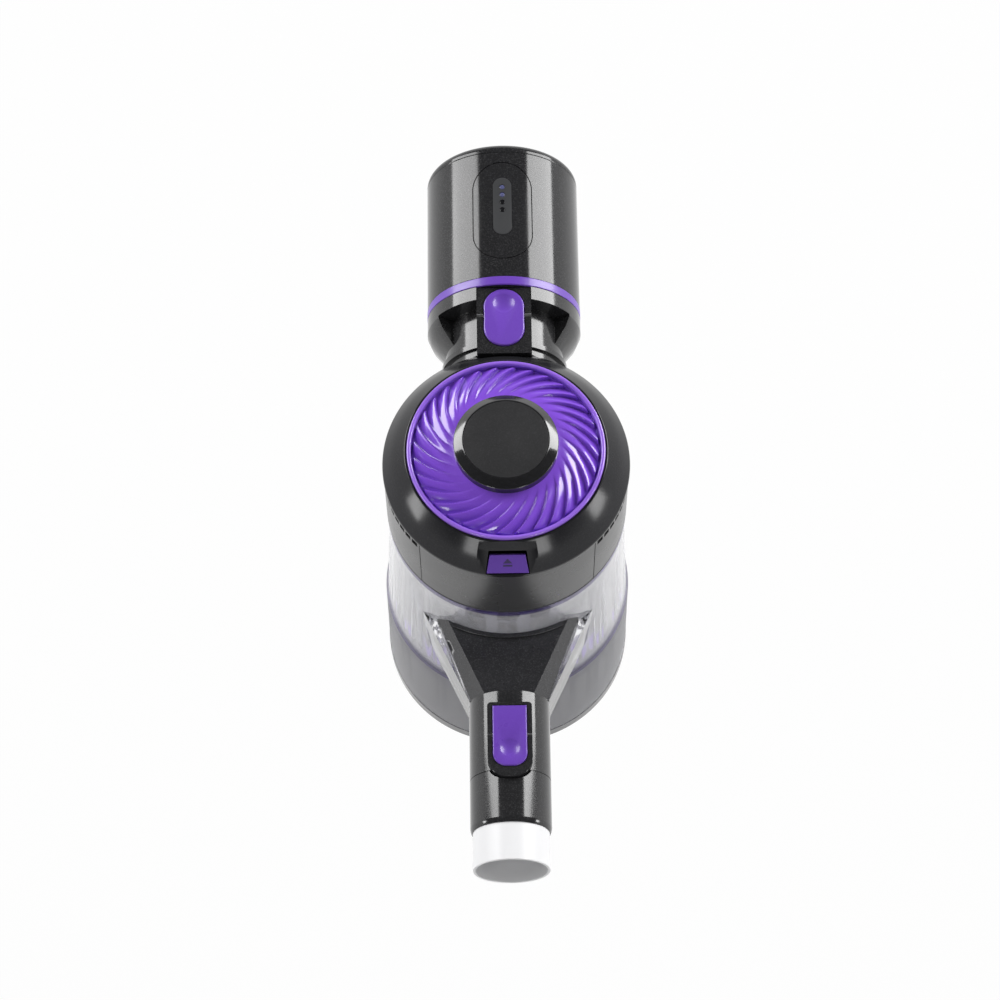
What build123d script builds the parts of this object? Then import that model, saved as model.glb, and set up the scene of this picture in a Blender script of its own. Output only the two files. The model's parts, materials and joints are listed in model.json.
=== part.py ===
from build123d import *
import math
import os

os.makedirs("parts", exist_ok=True)

# Cordless stick vacuum, hand unit with the top of its wand
# Origin at the centre of the bin lid's underside, +Z up, wand to -Y, battery to +Y

# Clearances
fit = 0.3
seat_gap = 0.1
run_gap = 0.05

# Dust bin and lid
lid_radius = 60.0
lid_height = 8.0
lid_floor = 2.5
lid_chamfer = 1.5
lid_plug_height = 7.0
lid_plug_wall = 2.2
lid_seal_width = 1.8
lid_seal_height = 3.5
lid_seal_lift = 1.5
bin_wall = 2.0
bin_foot_inset = 0.2
bin_draft = 0.6
bin_step_inset = 1.2
bin_taper = 3.5
bin_step_height = 61.0
bin_step_slope = 3.0
bin_bead = 0.8
bin_bead_height = 5.0
bin_height = 147.0
bin_tab_half = 5.0
bin_tab_wall = 2.2
bin_tab_rise = 15.0
bin_tab_depth = 9.0
bin_tab_window = 4.5

# Lid hinge at the rear and lid latch at the front
hinge_offset = 4.2
hinge_height = 5.0
hinge_pin_radius = 1.5
knuckle_radius = 3.2
knuckle_half = 8.0
knuckle_side = 8.0
bracket_height = 4.0
latch_offset = 5.0
latch_height = 24.0
latch_pin_radius = 1.2
latch_half = 7.0
latch_thick = 3.0
latch_up = 11.0
latch_ear = 2.5
latch_nose = 2.0
lip_reach = 2.0
lip_height = 3.0

# Motor housing
seal_height = 1.5
housing_overhang = 0.1
housing_wall = 2.5
housing_height = 38.5
housing_floor_lift = 3.5
housing_floor = 3.0
intake_radius = 20.0
vent_count = 9
vent_start = 46.0
vent_pitch = 4.8
vent_width = 3.6
vent_depth = 5.0
seam_angle = 45.0
seam_width = 0.5
cable_radius = 6.0
boss_half = 18.0
boss_length = 3.0
boss_margin = 5.0

# Top cap, swirl cover and hub
cap_overhang = 0.4
cap_rim_height = 1.8
cap_shoulder_inset = 2.8
cap_shoulder_height = 8.0
cap_height = 14.0
cap_wall = 2.2
cap_ring_width = 11.2
cap_web = 2.5
cap_web_width = 8.6
cover_lip = 1.0
cover_lip_round = 0.8
cover_rim_wall = 2.2
cover_plate = 1.8
cover_inner_rise = 4.4
cover_outer_drop = 1.8
vane_count = 32
vane_sweep = 42.0
vane_height = 2.4
vane_inner_height = 1.2
vane_share = 0.86
vane_sink = 0.7
vane_sections = 5
hub_radius = 23.4
hub_top_radius = 19.5
hub_step = 1.6
hub_height = 7.1
hub_round = 0.8
hub_bore = 12.0
post_filter_height = 5.0
post_filter_bore = 27.0
cap_edge = 1.0
cap_solid_angle = 18.0

# Bin button in its scoop on the front of the cap
button_slope = 45.0
button_inset = 4.2
button_lift = 5.2
button_half_top = 7.9
button_half_bottom = 9.4
button_half_height = 4.3
button_thick = 2.0
button_travel = 2.2
button_gap = 0.5
scoop_depth = 5.0
scoop_spread = 4.6
scoop_rim = 5.0
stem_half = 3.5
stem_thick = 2.0
stem_gap = 0.6
stem_foot = 2.6

# Motor
gasket_height = 2.0
gasket_width = 8.0
can_radius = 30.0
can_bell_height = 14.0
can_barrel_radius = 23.0
can_barrel_height = 18.0
can_wall = 1.6
shaft_radius = 2.5
shaft_stub = 1.0
bearing_radius = 6.0
bearing_height = 4.0
bearing_boss = 2.0
stator_bore = 10.0
stator_height = 10.0
magnet_gap = 0.8
can_hole_circle = 14.5
can_hole_radius = 4.0
can_hole_count = 6
impeller_radius = 26.5
impeller_disc = 1.6
impeller_blade_height = 6.0
impeller_blade_count = 9
impeller_blade_wall = 1.0
impeller_hub_radius = 7.0
impeller_blade_turn = 40.0

# Filter and cyclone below the motor
shroud_inset = 8.5
shroud_wall = 1.6
shroud_flange_inset = 3.5
shroud_flange = 2.4
shroud_length = 72.0
shroud_slot_rows = 3
shroud_slot_count = 16
shroud_slot_width = 9.0
shroud_slot_height = 17.0
shroud_slot_pitch = 21.0
skirt_inset = 0.6
skirt_height = 16.0
skirt_rise = 3.0
skirt_wall = 2.0
cone_inset = 5.4
cone_top_inset = 8.0
cone_height = 46.0
cone_rim = 5.0
cone_wall = 2.0
pre_filter_wall = 11.0
pleat_count = 36
pleat_depth = 2.2

# Inlet duct, socket and wand
wand_drop = 40.0
socket_step = 1.1
duct_length = 30.2
socket_length = 37.8
socket_stop = 3.0
spigot_step = 3.8
spigot_wall = 2.4
collar_length = 24.7
collar_round = 1.0
tube_radius = 17.5
tube_wall = 1.2
tube_seat = 16.0
tube_stub = 17.5
duct_root = 16.5
duct_top_half = 32.4
duct_top_half_front = 11.4
duct_rail_half = 35.6
duct_rail_half_front = 17.7
duct_rail_drop = 5.0
duct_rise = 14.7
duct_fall = 16.5
duct_corner = 8.0
duct_wall = 2.4
frame_half = 40.2
frame_half_front = 18.4
frame_rise = 5.5
frame_base = 3.0

# Wand button, a rocker on top of the socket
rocker_half = 7.8
rocker_inset = 8.3
rocker_length = 29.0
rocker_pivot_inset = 14.0
rocker_thick = 3.0
rocker_dimple_inset = 8.6
rocker_dimple_radius = 4.6
bezel_half = 10.2
bezel_margin = 1.8
bezel_round = 9.0
bezel_tongue = 5.0
bezel_top = 20.4
rocker_floor = 1.2
rocker_rise = 0.6
rocker_pin_radius = 1.0
rocker_coil_inset = 4.4
rocker_coil_radius = 1.6
rocker_coil_wire = 0.4
coil_turns = 2

# Battery dock
battery_lift = 16.5
neck_radius = 27.5
neck_bore = 10.0
neck_length = 9.2
flange_radius = 29.0
flange_offset = 1.7
flange_width = 2.5
dock_cone_length = 12.5
dock_cone_bend = 8.0
dock_bend_inset = 2.0
dock_band = 7.5
pocket_band = 6.5
pocket_angle = 58.0
block_half = 12.5
block_overlap = 4.8
block_height = 5.5
battery_plug_radius = 20.0
battery_plug_length = 24.0
battery_plug_step = 3.0
plug_floor_gap = 1.0

# Battery button, a rocker in the dock block
release_half = 9.3
release_length = 29.5
release_pivot_inset = 13.5
release_thick = 3.0
release_rise = 0.8
release_dimple_inset = 7.5
release_dimple_radius = 5.2
release_pin_radius = 1.0
release_spring_room = 2.6
release_coil_radius = 2.0
release_coil_wire = 0.5
release_nose_half = 3.0
release_nose_length = 4.0
release_nose_inset = 18.0
release_swing = 1.6
block_end_wall = 0.7

# Battery
battery_radius = 35.8
battery_wall = 2.0
ring_width = 4.3
ring_depth = 1.2
battery_length = 71.0
end_cap_height = 5.7
end_cap_round = 4.6
end_cap_spigot = 1.8
panel_width = 27.0
panel_offset = 13.9
panel_length = 51.4
panel_depth = 1.1
panel_groove = 0.4
window_width = 8.7
window_offset = 12.6
window_length = 30.5
window_depth = 0.6
light_radius = 1.3
light_offset = 13.2
light_pitch = 4.1
light_count = 4
cell_radius = 9.1
cell_length = 65.0
cell_count = 6
cell_circle = 19.6
holder_thick = 4.0
board_thick = 1.6
blade_half_gap = 7.0
blade_thick = 1.0
blade_height = 8.0
blade_length = 10.0
clip_thick = 0.5

# Grip and trigger
grip_half = 16.0
grip_round = 7.0
grip_corner = 9.0
grip_length = 103.0
grip_top_gap = 0.8
saddle_rise = 13.5
saddle_offset = 5.2
bridge_front_drop = 10.5
bridge_rear_drop = 24.5
finger_gap = 36.0
grip_depth = 36.0
grip_lean = 8.0
trigger_half = 7.0
trigger_drop = 28.0
trigger_height = 26.0
trigger_reach = 5.0
trigger_depth = 8.0
trigger_travel = 4.0
cavity_half = 8.0
cavity_depth = 14.0
cavity_height = 62.0
switch_height = 14.0
switch_depth = 9.0
board_height = 36.0
screw_radius = 1.5
screw_head_radius = 2.8
screw_head = 2.0
screw_length = 20.0
screw_inset = 8.0

# Heights and places that follow from the sizes above
bin_foot_radius = lid_radius - bin_foot_inset
bin_step_radius = bin_foot_radius - bin_draft
bin_waist_radius = bin_step_radius - bin_step_inset
bin_rim_radius = bin_waist_radius - bin_taper
housing_radius = bin_rim_radius + bin_bead + housing_overhang
cap_radius = housing_radius + cap_overhang
cap_shoulder_radius = cap_radius - cap_shoulder_inset
cap_bore = cap_radius - cap_ring_width
cap_web_radius = cap_bore - cap_web_width
bin_top = lid_height + bin_height
housing_bottom = bin_top + seal_height
housing_top = housing_bottom + housing_height
floor_bottom = housing_bottom + housing_floor_lift
floor_top = floor_bottom + housing_floor
cap_bottom = housing_top + seat_gap
cap_top = housing_top + cap_height
step_top = lid_height + bin_step_height
battery_z = housing_bottom + battery_lift
wand_z = bin_top - wand_drop
hinge_y = lid_radius + hinge_offset
latch_y = -(lid_radius + latch_offset)
tab_face = -(bin_rim_radius - bin_wall - fit - bin_tab_wall)
shroud_flange_radius = -tab_face - shroud_flange_inset
shroud_radius = shroud_flange_radius - shroud_inset
skirt_radius = -tab_face - skirt_inset
cone_radius = skirt_radius - cone_inset
cone_top_radius = shroud_radius - cone_top_inset
lid_plug_radius = bin_foot_radius - bin_wall - fit - lid_seal_width
cover_radius = cap_bore - 2 * seat_gap
cover_rim_inner = cover_radius - cover_rim_wall
cover_bottom = cap_bottom + cap_web
cover_edge_z = cap_top - cover_outer_drop
cover_hub_z = cap_top + cover_inner_rise
button_y = -(cap_radius - button_inset)
button_z = housing_top + button_lift
socket_radius = tube_radius + socket_step
spigot_radius = tube_radius - spigot_step
wand_axis = Axis((0, 0, wand_z), (0, 1, 0))
duct_rear = -(bin_rim_radius - duct_root)
duct_top = wand_z + duct_rise
duct_bottom = wand_z - duct_fall
socket_start = -(bin_rim_radius + duct_length)
rocker_rear = socket_start - rocker_inset
rocker_front = rocker_rear - rocker_length
rocker_pivot = rocker_rear - rocker_pivot_inset
rocker_dimple_y = rocker_front + rocker_dimple_inset
socket_end = socket_start - socket_length
socket_bore = spigot_radius + fit
collar_start = socket_end - fit
collar_end = collar_start - collar_length
tube_end = collar_end - tube_stub
dock_radius = battery_radius
dock_bend_radius = dock_radius - dock_bend_inset
dock_face = cap_radius + 2 * seat_gap
dock_cone_start = dock_face + neck_length
dock_cone_end = dock_cone_start + dock_cone_length
dock_end = dock_cone_end + dock_band
pocket_end = dock_end - pocket_band
flange_start = dock_face + flange_offset
flange_end = flange_start + flange_width
neck_start = dock_face - neck_radius / 2
neck_top = battery_z + neck_radius
boss_rear = housing_radius + boss_length
block_front = cap_radius - block_overlap
block_top = neck_top + block_height
battery_axis = Axis((0, 0, battery_z), (0, 1, 0))
battery_side = Plane(origin=(0, 0, battery_z), x_dir=(0, 1, 0), z_dir=(1, 0, 0))
wand_side = Plane(origin=(0, 0, wand_z), x_dir=(0, 1, 0), z_dir=(1, 0, 0))
plug_bore = battery_plug_radius + fit
shell_front = dock_end + fit
shell_rear = shell_front + battery_length
plug_front = shell_front - battery_plug_length
bore_floor = plug_front - plug_floor_gap
slope = math.radians(button_slope)
button_plane = Plane(
    origin=(0, button_y, button_z),
    x_dir=(1, 0, 0),
    z_dir=(0, -math.sin(slope), math.cos(slope)),
)


def facing_back(y):
    """Plane across the unit at the given y, with local x to +X, local y to +Z and its normal to -Y."""
    return Plane.XZ.offset(-y)


def turned(points, plane, axis):
    """Solid turned from a closed outline of straight lines."""
    with BuildPart() as body:
        with BuildSketch(plane):
            with BuildLine():
                Polyline(*points, close=True)
            make_face()
        revolve(axis=axis)
    return body.part


def coil_spring(radius, wire, height, turns):
    """Compression spring about Z from 0 to height, swept along quarter-turn arcs, and its least self-gap."""
    climb = height - wire
    steps = 8 * turns
    points = []
    for i in range(steps + 1):
        turn = i / 8 * math.tau
        points.append((radius * math.cos(turn), radius * math.sin(turn), wire / 2 + climb * i / steps))
    with BuildPart() as spring:
        with BuildLine() as path:
            for i in range(0, steps, 2):
                ThreePointArc(points[i], points[i + 1], points[i + 2])
        with BuildSketch(path.line ^ 0):
            Circle(wire / 2)
        sweep()
    route = path.wires()[0]
    spots = [route.position_at(i / (3 * steps)) for i in range(3 * steps + 1)]
    half_turn = 3 * steps // (2 * turns)
    nearest = min((a - b).length for i, a in enumerate(spots) for b in spots[i + half_turn:])
    return spring.part, nearest - wire


# Bin lid with its plug, hinge knuckle and latch lip
with BuildPart() as bin_lid:
    with BuildSketch(Plane.XZ):
        with BuildLine():
            Polyline(
                (0, 0),
                (lid_radius - lid_chamfer, 0),
                (lid_radius, lid_chamfer),
                (lid_radius, lid_height - fit),
                (lid_plug_radius, lid_height - fit),
                (lid_plug_radius, lid_height + lid_plug_height),
                (lid_plug_radius - lid_plug_wall, lid_height + lid_plug_height),
                (lid_plug_radius - lid_plug_wall, lid_floor),
                (0, lid_floor),
                close=True,
            )
        make_face()
    revolve(axis=Axis.Z)
    with BuildSketch(Plane.YZ.offset(-knuckle_half)):
        with Locations((hinge_y, hinge_height)):
            Circle(knuckle_radius)
        with Locations((hinge_y, hinge_height)):
            Rectangle(hinge_offset + bin_wall, knuckle_radius, align=(Align.MAX, Align.CENTER))
    extrude(amount=2 * knuckle_half)
    with BuildSketch(Plane.YZ.offset(-knuckle_half)):
        with Locations((hinge_y, hinge_height)):
            Circle(hinge_pin_radius + run_gap)
    extrude(amount=2 * knuckle_half, mode=Mode.SUBTRACT)
    with BuildSketch(Plane.XY.offset(lid_height - fit)):
        with Locations((0, -lid_radius)):
            Rectangle(2 * latch_half, 2 * lip_reach)
    extrude(amount=-lip_height)
bin_lid.part.label = "bin_lid"
export_step(bin_lid.part, "parts/bin_lid.step")

# Rubber ring round the lid's plug
with BuildPart() as lid_seal:
    with BuildSketch(Plane.XY.offset(lid_height + lid_seal_lift)):
        Circle(lid_plug_radius + lid_seal_width)
        Circle(lid_plug_radius + run_gap, mode=Mode.SUBTRACT)
    extrude(amount=lid_seal_height)
lid_seal.part.label = "lid_seal"
export_step(lid_seal.part, "parts/lid_seal.step")

with BuildPart() as lid_hinge_pin:
    with BuildSketch(Plane.YZ.offset(-knuckle_half - fit - knuckle_side)):
        with Locations((hinge_y, hinge_height)):
            Circle(hinge_pin_radius)
    extrude(amount=2 * (knuckle_half + fit + knuckle_side))
lid_hinge_pin.part.label = "lid_hinge_pin"
export_step(lid_hinge_pin.part, "parts/lid_hinge_pin.step")


def duct_section(y, top_half, rail_half, rail_drop, top, bottom, inset):
    """Face across the duct: flat top, sloping rails, upright sides and chamfered lower corners."""
    with BuildSketch(facing_back(y)) as section:
        with BuildLine():
            right = [
                (top_half - inset / 2, top - inset),
                (rail_half - inset, top - rail_drop - inset / 2),
                (rail_half - inset, bottom + duct_corner),
                (rail_half - duct_corner, bottom + inset),
            ]
            left = [(-x, z) for x, z in reversed(right)]
            Polyline(*right, *left, close=True)
        make_face()
    return section.sketch


def duct_solid(inset, front):
    """Loft of the duct between the bin's axis side and its front end, drawn in by the inset."""
    rail_drop_front = duct_top - wand_z - math.sqrt(socket_radius**2 - duct_rail_half_front**2)
    rear_face = duct_section(
        duct_rear, duct_top_half, duct_rail_half, duct_rail_drop, duct_top, duct_bottom, inset
    )
    front_face = duct_section(
        front, duct_top_half_front, duct_rail_half_front, rail_drop_front, duct_top, duct_bottom, inset
    )
    with BuildPart() as body:
        loft([rear_face.face(), front_face.face()], ruled=True)
    return body.part


bin_outer = [
    (bin_foot_radius, lid_height),
    (bin_step_radius, step_top - bin_step_slope),
    (bin_waist_radius, step_top),
    (bin_rim_radius, bin_top - bin_bead_height - bin_bead),
    (bin_rim_radius + bin_bead, bin_top - bin_bead_height),
    (bin_rim_radius + bin_bead, bin_top - fit),
]
bin_inner = [
    (bin_rim_radius - bin_wall, bin_top - fit),
    (bin_waist_radius - bin_wall, step_top),
    (bin_step_radius - bin_wall, step_top - bin_step_slope),
    (bin_foot_radius - bin_wall, lid_height),
]
bin_block = turned([(0, lid_height), *bin_outer, (0, bin_top - fit)], Plane.XZ, Axis.Z)
bin_cavity = turned([(0, bin_top - fit), *bin_inner, (0, lid_height)], Plane.XZ, Axis.Z)
duct_outside = duct_solid(0, socket_start)
duct_inside = duct_solid(duct_wall, socket_start)

# Clear dust cup with hinge brackets, latch ears, catch tab and inlet opening
with BuildPart() as bin_cup:
    with BuildSketch(Plane.XZ):
        with BuildLine():
            Polyline(*bin_outer, *bin_inner, close=True)
        make_face()
    revolve(axis=Axis.Z)
    for side in (-1, 1):
        with BuildSketch(Plane.YZ.offset(side * (knuckle_half + fit))):
            with Locations((hinge_y, hinge_height)):
                Circle(knuckle_radius)
            with Locations((hinge_y, hinge_height)):
                Rectangle(2 * knuckle_radius, lid_height + bracket_height - hinge_height,
                          align=(Align.CENTER, Align.MIN))
            with Locations((hinge_y + knuckle_radius, lid_height)):
                Rectangle(hinge_y + knuckle_radius - bin_foot_radius + 2 * bin_wall, bracket_height,
                          align=(Align.MAX, Align.MIN))
        extrude(amount=side * knuckle_side)
    with BuildSketch(Plane.YZ.offset(-knuckle_half - fit - knuckle_side)):
        with Locations((hinge_y, hinge_height)):
            Circle(hinge_pin_radius)
    extrude(amount=2 * (knuckle_half + fit + knuckle_side), mode=Mode.SUBTRACT)
    for side in (-1, 1):
        with BuildSketch(Plane.YZ.offset(side * (latch_half + fit))):
            with Locations((latch_y, latch_height)):
                Circle(latch_thick)
            with Locations((latch_y, latch_height)):
                Rectangle(latch_offset + bin_wall, 2 * latch_thick, align=(Align.MIN, Align.CENTER))
        extrude(amount=side * latch_ear)
    with BuildSketch(Plane.YZ.offset(-latch_half - fit - latch_ear)):
        with Locations((latch_y, latch_height)):
            Circle(latch_pin_radius)
    extrude(amount=2 * (latch_half + fit + latch_ear), mode=Mode.SUBTRACT)
    add(bin_cavity, mode=Mode.SUBTRACT)
    with BuildSketch(Plane.XY.offset(bin_top - bin_tab_depth)):
        with Locations((0, tab_face)):
            Rectangle(2 * bin_tab_half, bin_wall + bin_tab_wall, align=(Align.CENTER, Align.MAX))
    extrude(amount=bin_tab_depth - fit)
    with BuildSketch(Plane.XY.offset(bin_top - bin_tab_depth)):
        with Locations((0, tab_face)):
            Rectangle(2 * bin_tab_half, bin_tab_wall, align=(Align.CENTER, Align.MAX))
    extrude(amount=bin_tab_depth + bin_tab_rise)
    with BuildSketch(facing_back(0)):
        with Locations((0, bin_top + bin_tab_rise - bin_tab_window)):
            Rectangle(2 * bin_tab_half - 2 * bin_tab_wall, bin_tab_window)
    extrude(amount=bin_rim_radius, mode=Mode.SUBTRACT)
    add(duct_inside, mode=Mode.SUBTRACT)
bin_cup.part.label = "bin_cup"
export_step(bin_cup.part, "parts/bin_cup.step")

# Rocking latch that hooks the lid's lip
with BuildPart() as lid_latch:
    nose_top = lid_height - fit - lip_height - fit
    lip_front = lid_radius + lip_reach + fit
    with BuildSketch(Plane.YZ.offset(-latch_half)):
        with Locations((latch_y, latch_height)):
            Circle(latch_thick)
        with BuildLine():
            Polyline(
                (latch_y - latch_thick / 2, latch_height + latch_up),
                (latch_y + latch_thick / 2, latch_height + latch_up),
                (latch_y + latch_thick / 2, nose_top),
                (-lip_front, nose_top),
                (-lip_front, nose_top - latch_nose),
                (latch_y - latch_thick / 2, nose_top - latch_nose),
                close=True,
            )
        make_face()
    extrude(amount=2 * latch_half)
    with BuildSketch(Plane.YZ.offset(-latch_half)):
        with Locations((latch_y, latch_height)):
            Circle(latch_pin_radius + run_gap)
    extrude(amount=2 * latch_half, mode=Mode.SUBTRACT)
lid_latch.part.label = "lid_latch"
export_step(lid_latch.part, "parts/lid_latch.step")

with BuildPart() as latch_pin:
    with BuildSketch(Plane.YZ.offset(-latch_half - fit - latch_ear)):
        with Locations((latch_y, latch_height)):
            Circle(latch_pin_radius)
    extrude(amount=2 * (latch_half + fit + latch_ear))
latch_pin.part.label = "latch_pin"
export_step(latch_pin.part, "parts/latch_pin.step")

# Black inlet duct on the front of the bin
with BuildPart() as inlet_duct:
    add(duct_outside)
    add(duct_inside, mode=Mode.SUBTRACT)
    add(bin_block, mode=Mode.SUBTRACT)
inlet_duct.part.label = "inlet_duct"
export_step(inlet_duct.part, "parts/inlet_duct.step")

# Clear frame that the duct sits in, part of the bin's front
with BuildPart() as inlet_frame:
    with BuildSketch(Plane.XY.offset(duct_bottom - frame_base)):
        with BuildLine():
            Polyline(
                (-frame_half, duct_rear),
                (frame_half, duct_rear),
                (frame_half_front, socket_start),
                (-frame_half_front, socket_start),
                close=True,
            )
        make_face()
    extrude(amount=frame_rise + duct_fall + frame_base)
    add(duct_outside, mode=Mode.SUBTRACT)
    add(bin_block, mode=Mode.SUBTRACT)
inlet_frame.part.label = "inlet_frame"
export_step(inlet_frame.part, "parts/inlet_frame.step")

# Socket for the wand, with a raised bezel for the rocker button
bezel_rear = rocker_rear + bezel_margin
bezel_front = rocker_front - bezel_tongue
rocker_floor_z = wand_z + socket_bore + rocker_floor
rocker_top_z = wand_z + bezel_top + rocker_rise
rocker_pin_z = rocker_top_z - rocker_thick / 2
with BuildPart() as inlet_socket:
    with BuildSketch(facing_back(socket_start)):
        with Locations((0, wand_z)):
            Circle(socket_radius)
    extrude(amount=socket_length)
    with BuildSketch(Plane.XY.offset(wand_z)):
        with Locations((0, (bezel_rear + bezel_front) / 2)):
            Rectangle(2 * bezel_half, bezel_rear - bezel_front)
        fillet(vertices().group_by(Axis.Y)[-1], bezel_margin)
        fillet(vertices().group_by(Axis.Y)[0], bezel_round)
    extrude(amount=bezel_top)
    with BuildSketch(facing_back(socket_start)):
        with Locations((0, wand_z)):
            Circle(socket_bore - socket_stop)
    extrude(amount=socket_length + bezel_tongue, mode=Mode.SUBTRACT)
    with BuildSketch(facing_back(socket_start - socket_stop)):
        with Locations((0, wand_z)):
            Circle(socket_bore)
    extrude(amount=socket_length + bezel_tongue, mode=Mode.SUBTRACT)
    with BuildSketch(facing_back(socket_end)):
        Rectangle(4 * socket_radius, 2 * (wand_z + socket_bore + fit))
    extrude(amount=2 * bezel_tongue, mode=Mode.SUBTRACT)
    with BuildSketch(Plane.XY.offset(rocker_floor_z)):
        with Locations((0, (rocker_rear + rocker_front) / 2)):
            Rectangle(2 * (rocker_half + fit), rocker_rear - rocker_front + 2 * fit)
        fillet(vertices().group_by(Axis.Y)[0], rocker_half - bezel_margin + fit)
    extrude(amount=bezel_top, mode=Mode.SUBTRACT)
    with BuildSketch(Plane.YZ.offset(-bezel_half)):
        with Locations((rocker_pivot, rocker_pin_z)):
            Circle(rocker_pin_radius)
    extrude(amount=2 * bezel_half, mode=Mode.SUBTRACT)
inlet_socket.part.label = "inlet_socket"
export_step(inlet_socket.part, "parts/inlet_socket.step")

# Purple rocker that frees the wand, with a thumb dimple
with BuildPart() as wand_button:
    with BuildSketch(Plane.XY.offset(rocker_top_z - rocker_thick)):
        with Locations((0, (rocker_rear + rocker_front) / 2)):
            Rectangle(2 * rocker_half, rocker_rear - rocker_front)
        fillet(vertices().group_by(Axis.Y)[0], rocker_half - bezel_margin)
    extrude(amount=rocker_thick)
    fillet(faces().sort_by(Axis.Z)[-1].edges(), rocker_rise)
    with BuildSketch(Plane.YZ.offset(-rocker_half)):
        with Locations((rocker_pivot, rocker_pin_z)):
            Circle(rocker_pin_radius + run_gap)
    extrude(amount=2 * rocker_half, mode=Mode.SUBTRACT)
    dimple_ball = 2 * rocker_dimple_radius
    dimple_depth = dimple_ball - math.sqrt(dimple_ball**2 - rocker_dimple_radius**2)
    with Locations((0, rocker_dimple_y, rocker_top_z + dimple_ball - dimple_depth)):
        Sphere(dimple_ball, mode=Mode.SUBTRACT)
wand_button.part.label = "wand_button"
export_step(wand_button.part, "parts/wand_button.step")

with BuildPart() as wand_button_pin:
    with BuildSketch(Plane.YZ.offset(-bezel_half)):
        with Locations((rocker_pivot, rocker_pin_z)):
            Circle(rocker_pin_radius)
    extrude(amount=2 * bezel_half)
wand_button_pin.part.label = "wand_button_pin"
export_step(wand_button_pin.part, "parts/wand_button_pin.step")

# Wand collar with its spigot, and the white tube
with BuildPart() as wand_collar:
    with BuildSketch(wand_side):
        with BuildLine():
            Polyline(
                (socket_start - socket_stop - fit, spigot_radius - spigot_wall),
                (socket_start - socket_stop - fit, spigot_radius),
                (collar_start, spigot_radius),
                (collar_start, socket_radius),
                (collar_end + collar_round, socket_radius),
                (collar_end, socket_radius - collar_round / 2),
                (collar_end, tube_radius),
                (collar_end + tube_seat, tube_radius),
                (collar_end + tube_seat, spigot_radius - spigot_wall),
                close=True,
            )
        make_face()
    revolve(axis=wand_axis)
    with BuildSketch(Plane.XY.offset(wand_z + spigot_radius)):
        with Locations((0, bezel_front - fit)):
            Rectangle(2 * (bezel_half + fit), 2 * bezel_round, align=(Align.CENTER, Align.MIN))
        fillet(vertices().group_by(Axis.Y)[0], bezel_round + fit)
    extrude(amount=bezel_top, mode=Mode.SUBTRACT)
wand_collar.part.label = "wand_collar"
export_step(wand_collar.part, "parts/wand_collar.step")

with BuildPart() as wand_tube:
    with BuildSketch(facing_back(collar_end + tube_seat)):
        with Locations((0, wand_z)):
            Circle(tube_radius)
            Circle(tube_radius - tube_wall, mode=Mode.SUBTRACT)
    extrude(amount=collar_end + tube_seat - tube_end)
wand_tube.part.label = "wand_tube"
export_step(wand_tube.part, "parts/wand_tube.step")

# Spring under the thumb end of the wand button
rocker_spring_room = rocker_top_z - rocker_thick - rocker_floor_z
wand_coil, wand_coil_gap = coil_spring(rocker_coil_radius, rocker_coil_wire, rocker_spring_room, coil_turns)
with BuildPart() as wand_button_spring:
    with Locations((0, rocker_front + rocker_coil_inset, rocker_floor_z)):
        add(wand_coil)
wand_button_spring.part.label = "wand_button_spring"
export_step(wand_button_spring.part, "parts/wand_button_spring.step")

# Rubber seal between the housing and the bin's rim
with BuildPart() as bin_seal:
    with BuildSketch(Plane.XY.offset(bin_top)):
        Circle(housing_radius - seat_gap)
        Circle(housing_radius - housing_wall, mode=Mode.SUBTRACT)
    extrude(amount=seal_height)
bin_seal.part.label = "bin_seal"
export_step(bin_seal.part, "parts/bin_seal.step")

# Motor housing: the band, its floor, the exhaust vents and the boss that carries the dock
housing_bore = housing_radius - housing_wall
with BuildPart() as motor_housing:
    with BuildSketch(Plane.XZ):
        with BuildLine():
            Polyline(
                (housing_radius, housing_bottom),
                (housing_radius, housing_top),
                (housing_bore, housing_top),
                (housing_bore, floor_top),
                (intake_radius, floor_top),
                (intake_radius, floor_bottom),
                (housing_bore, floor_bottom),
                (housing_bore, housing_bottom),
                close=True,
            )
        make_face()
    revolve(axis=Axis.Z)
    with BuildSketch(Plane.XY.offset(housing_bottom + boss_margin)):
        with Locations((0, housing_bore - housing_wall)):
            Rectangle(2 * boss_half, boss_rear - housing_bore + housing_wall, align=(Align.CENTER, Align.MIN))
    extrude(amount=housing_height - 2 * boss_margin)
    with BuildSketch(Plane.XY.offset(floor_top)):
        Circle(housing_bore)
    extrude(amount=housing_height, mode=Mode.SUBTRACT)
    with BuildSketch(facing_back(boss_rear)):
        with Locations((0, battery_z)):
            Circle(cable_radius)
    extrude(amount=boss_rear - intake_radius, mode=Mode.SUBTRACT)
    with BuildSketch(Plane.XY.offset(floor_bottom)):
        with Locations((0, tab_face + fit)):
            Rectangle(2 * (bin_tab_half + fit), bin_tab_wall + housing_wall, align=(Align.CENTER, Align.MAX))
    extrude(amount=housing_floor, mode=Mode.SUBTRACT)
    vents = []
    seams = []
    for side in (-1, 1):
        for i in range(vent_count):
            turn = side * (vent_start + (i + 0.5) * vent_pitch)
            place = Pos(0, 0, housing_top) * Rot(0, 0, turn) * Pos(0, -housing_radius, 0)
            vents.append(place)
        seams.append(Pos(0, 0, housing_bottom) * Rot(0, 0, side * seam_angle) * Pos(0, -housing_radius, 0))
    with Locations(*vents):
        Box(vent_width, 4 * housing_wall, vent_depth, align=(Align.CENTER, Align.CENTER, Align.MAX),
            mode=Mode.SUBTRACT)
    with Locations(*seams):
        Box(seam_width, seam_width, housing_height, align=(Align.CENTER, Align.CENTER, Align.MIN),
            mode=Mode.SUBTRACT)
motor_housing.part.label = "motor_housing"
export_step(motor_housing.part, "parts/motor_housing.step")


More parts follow.
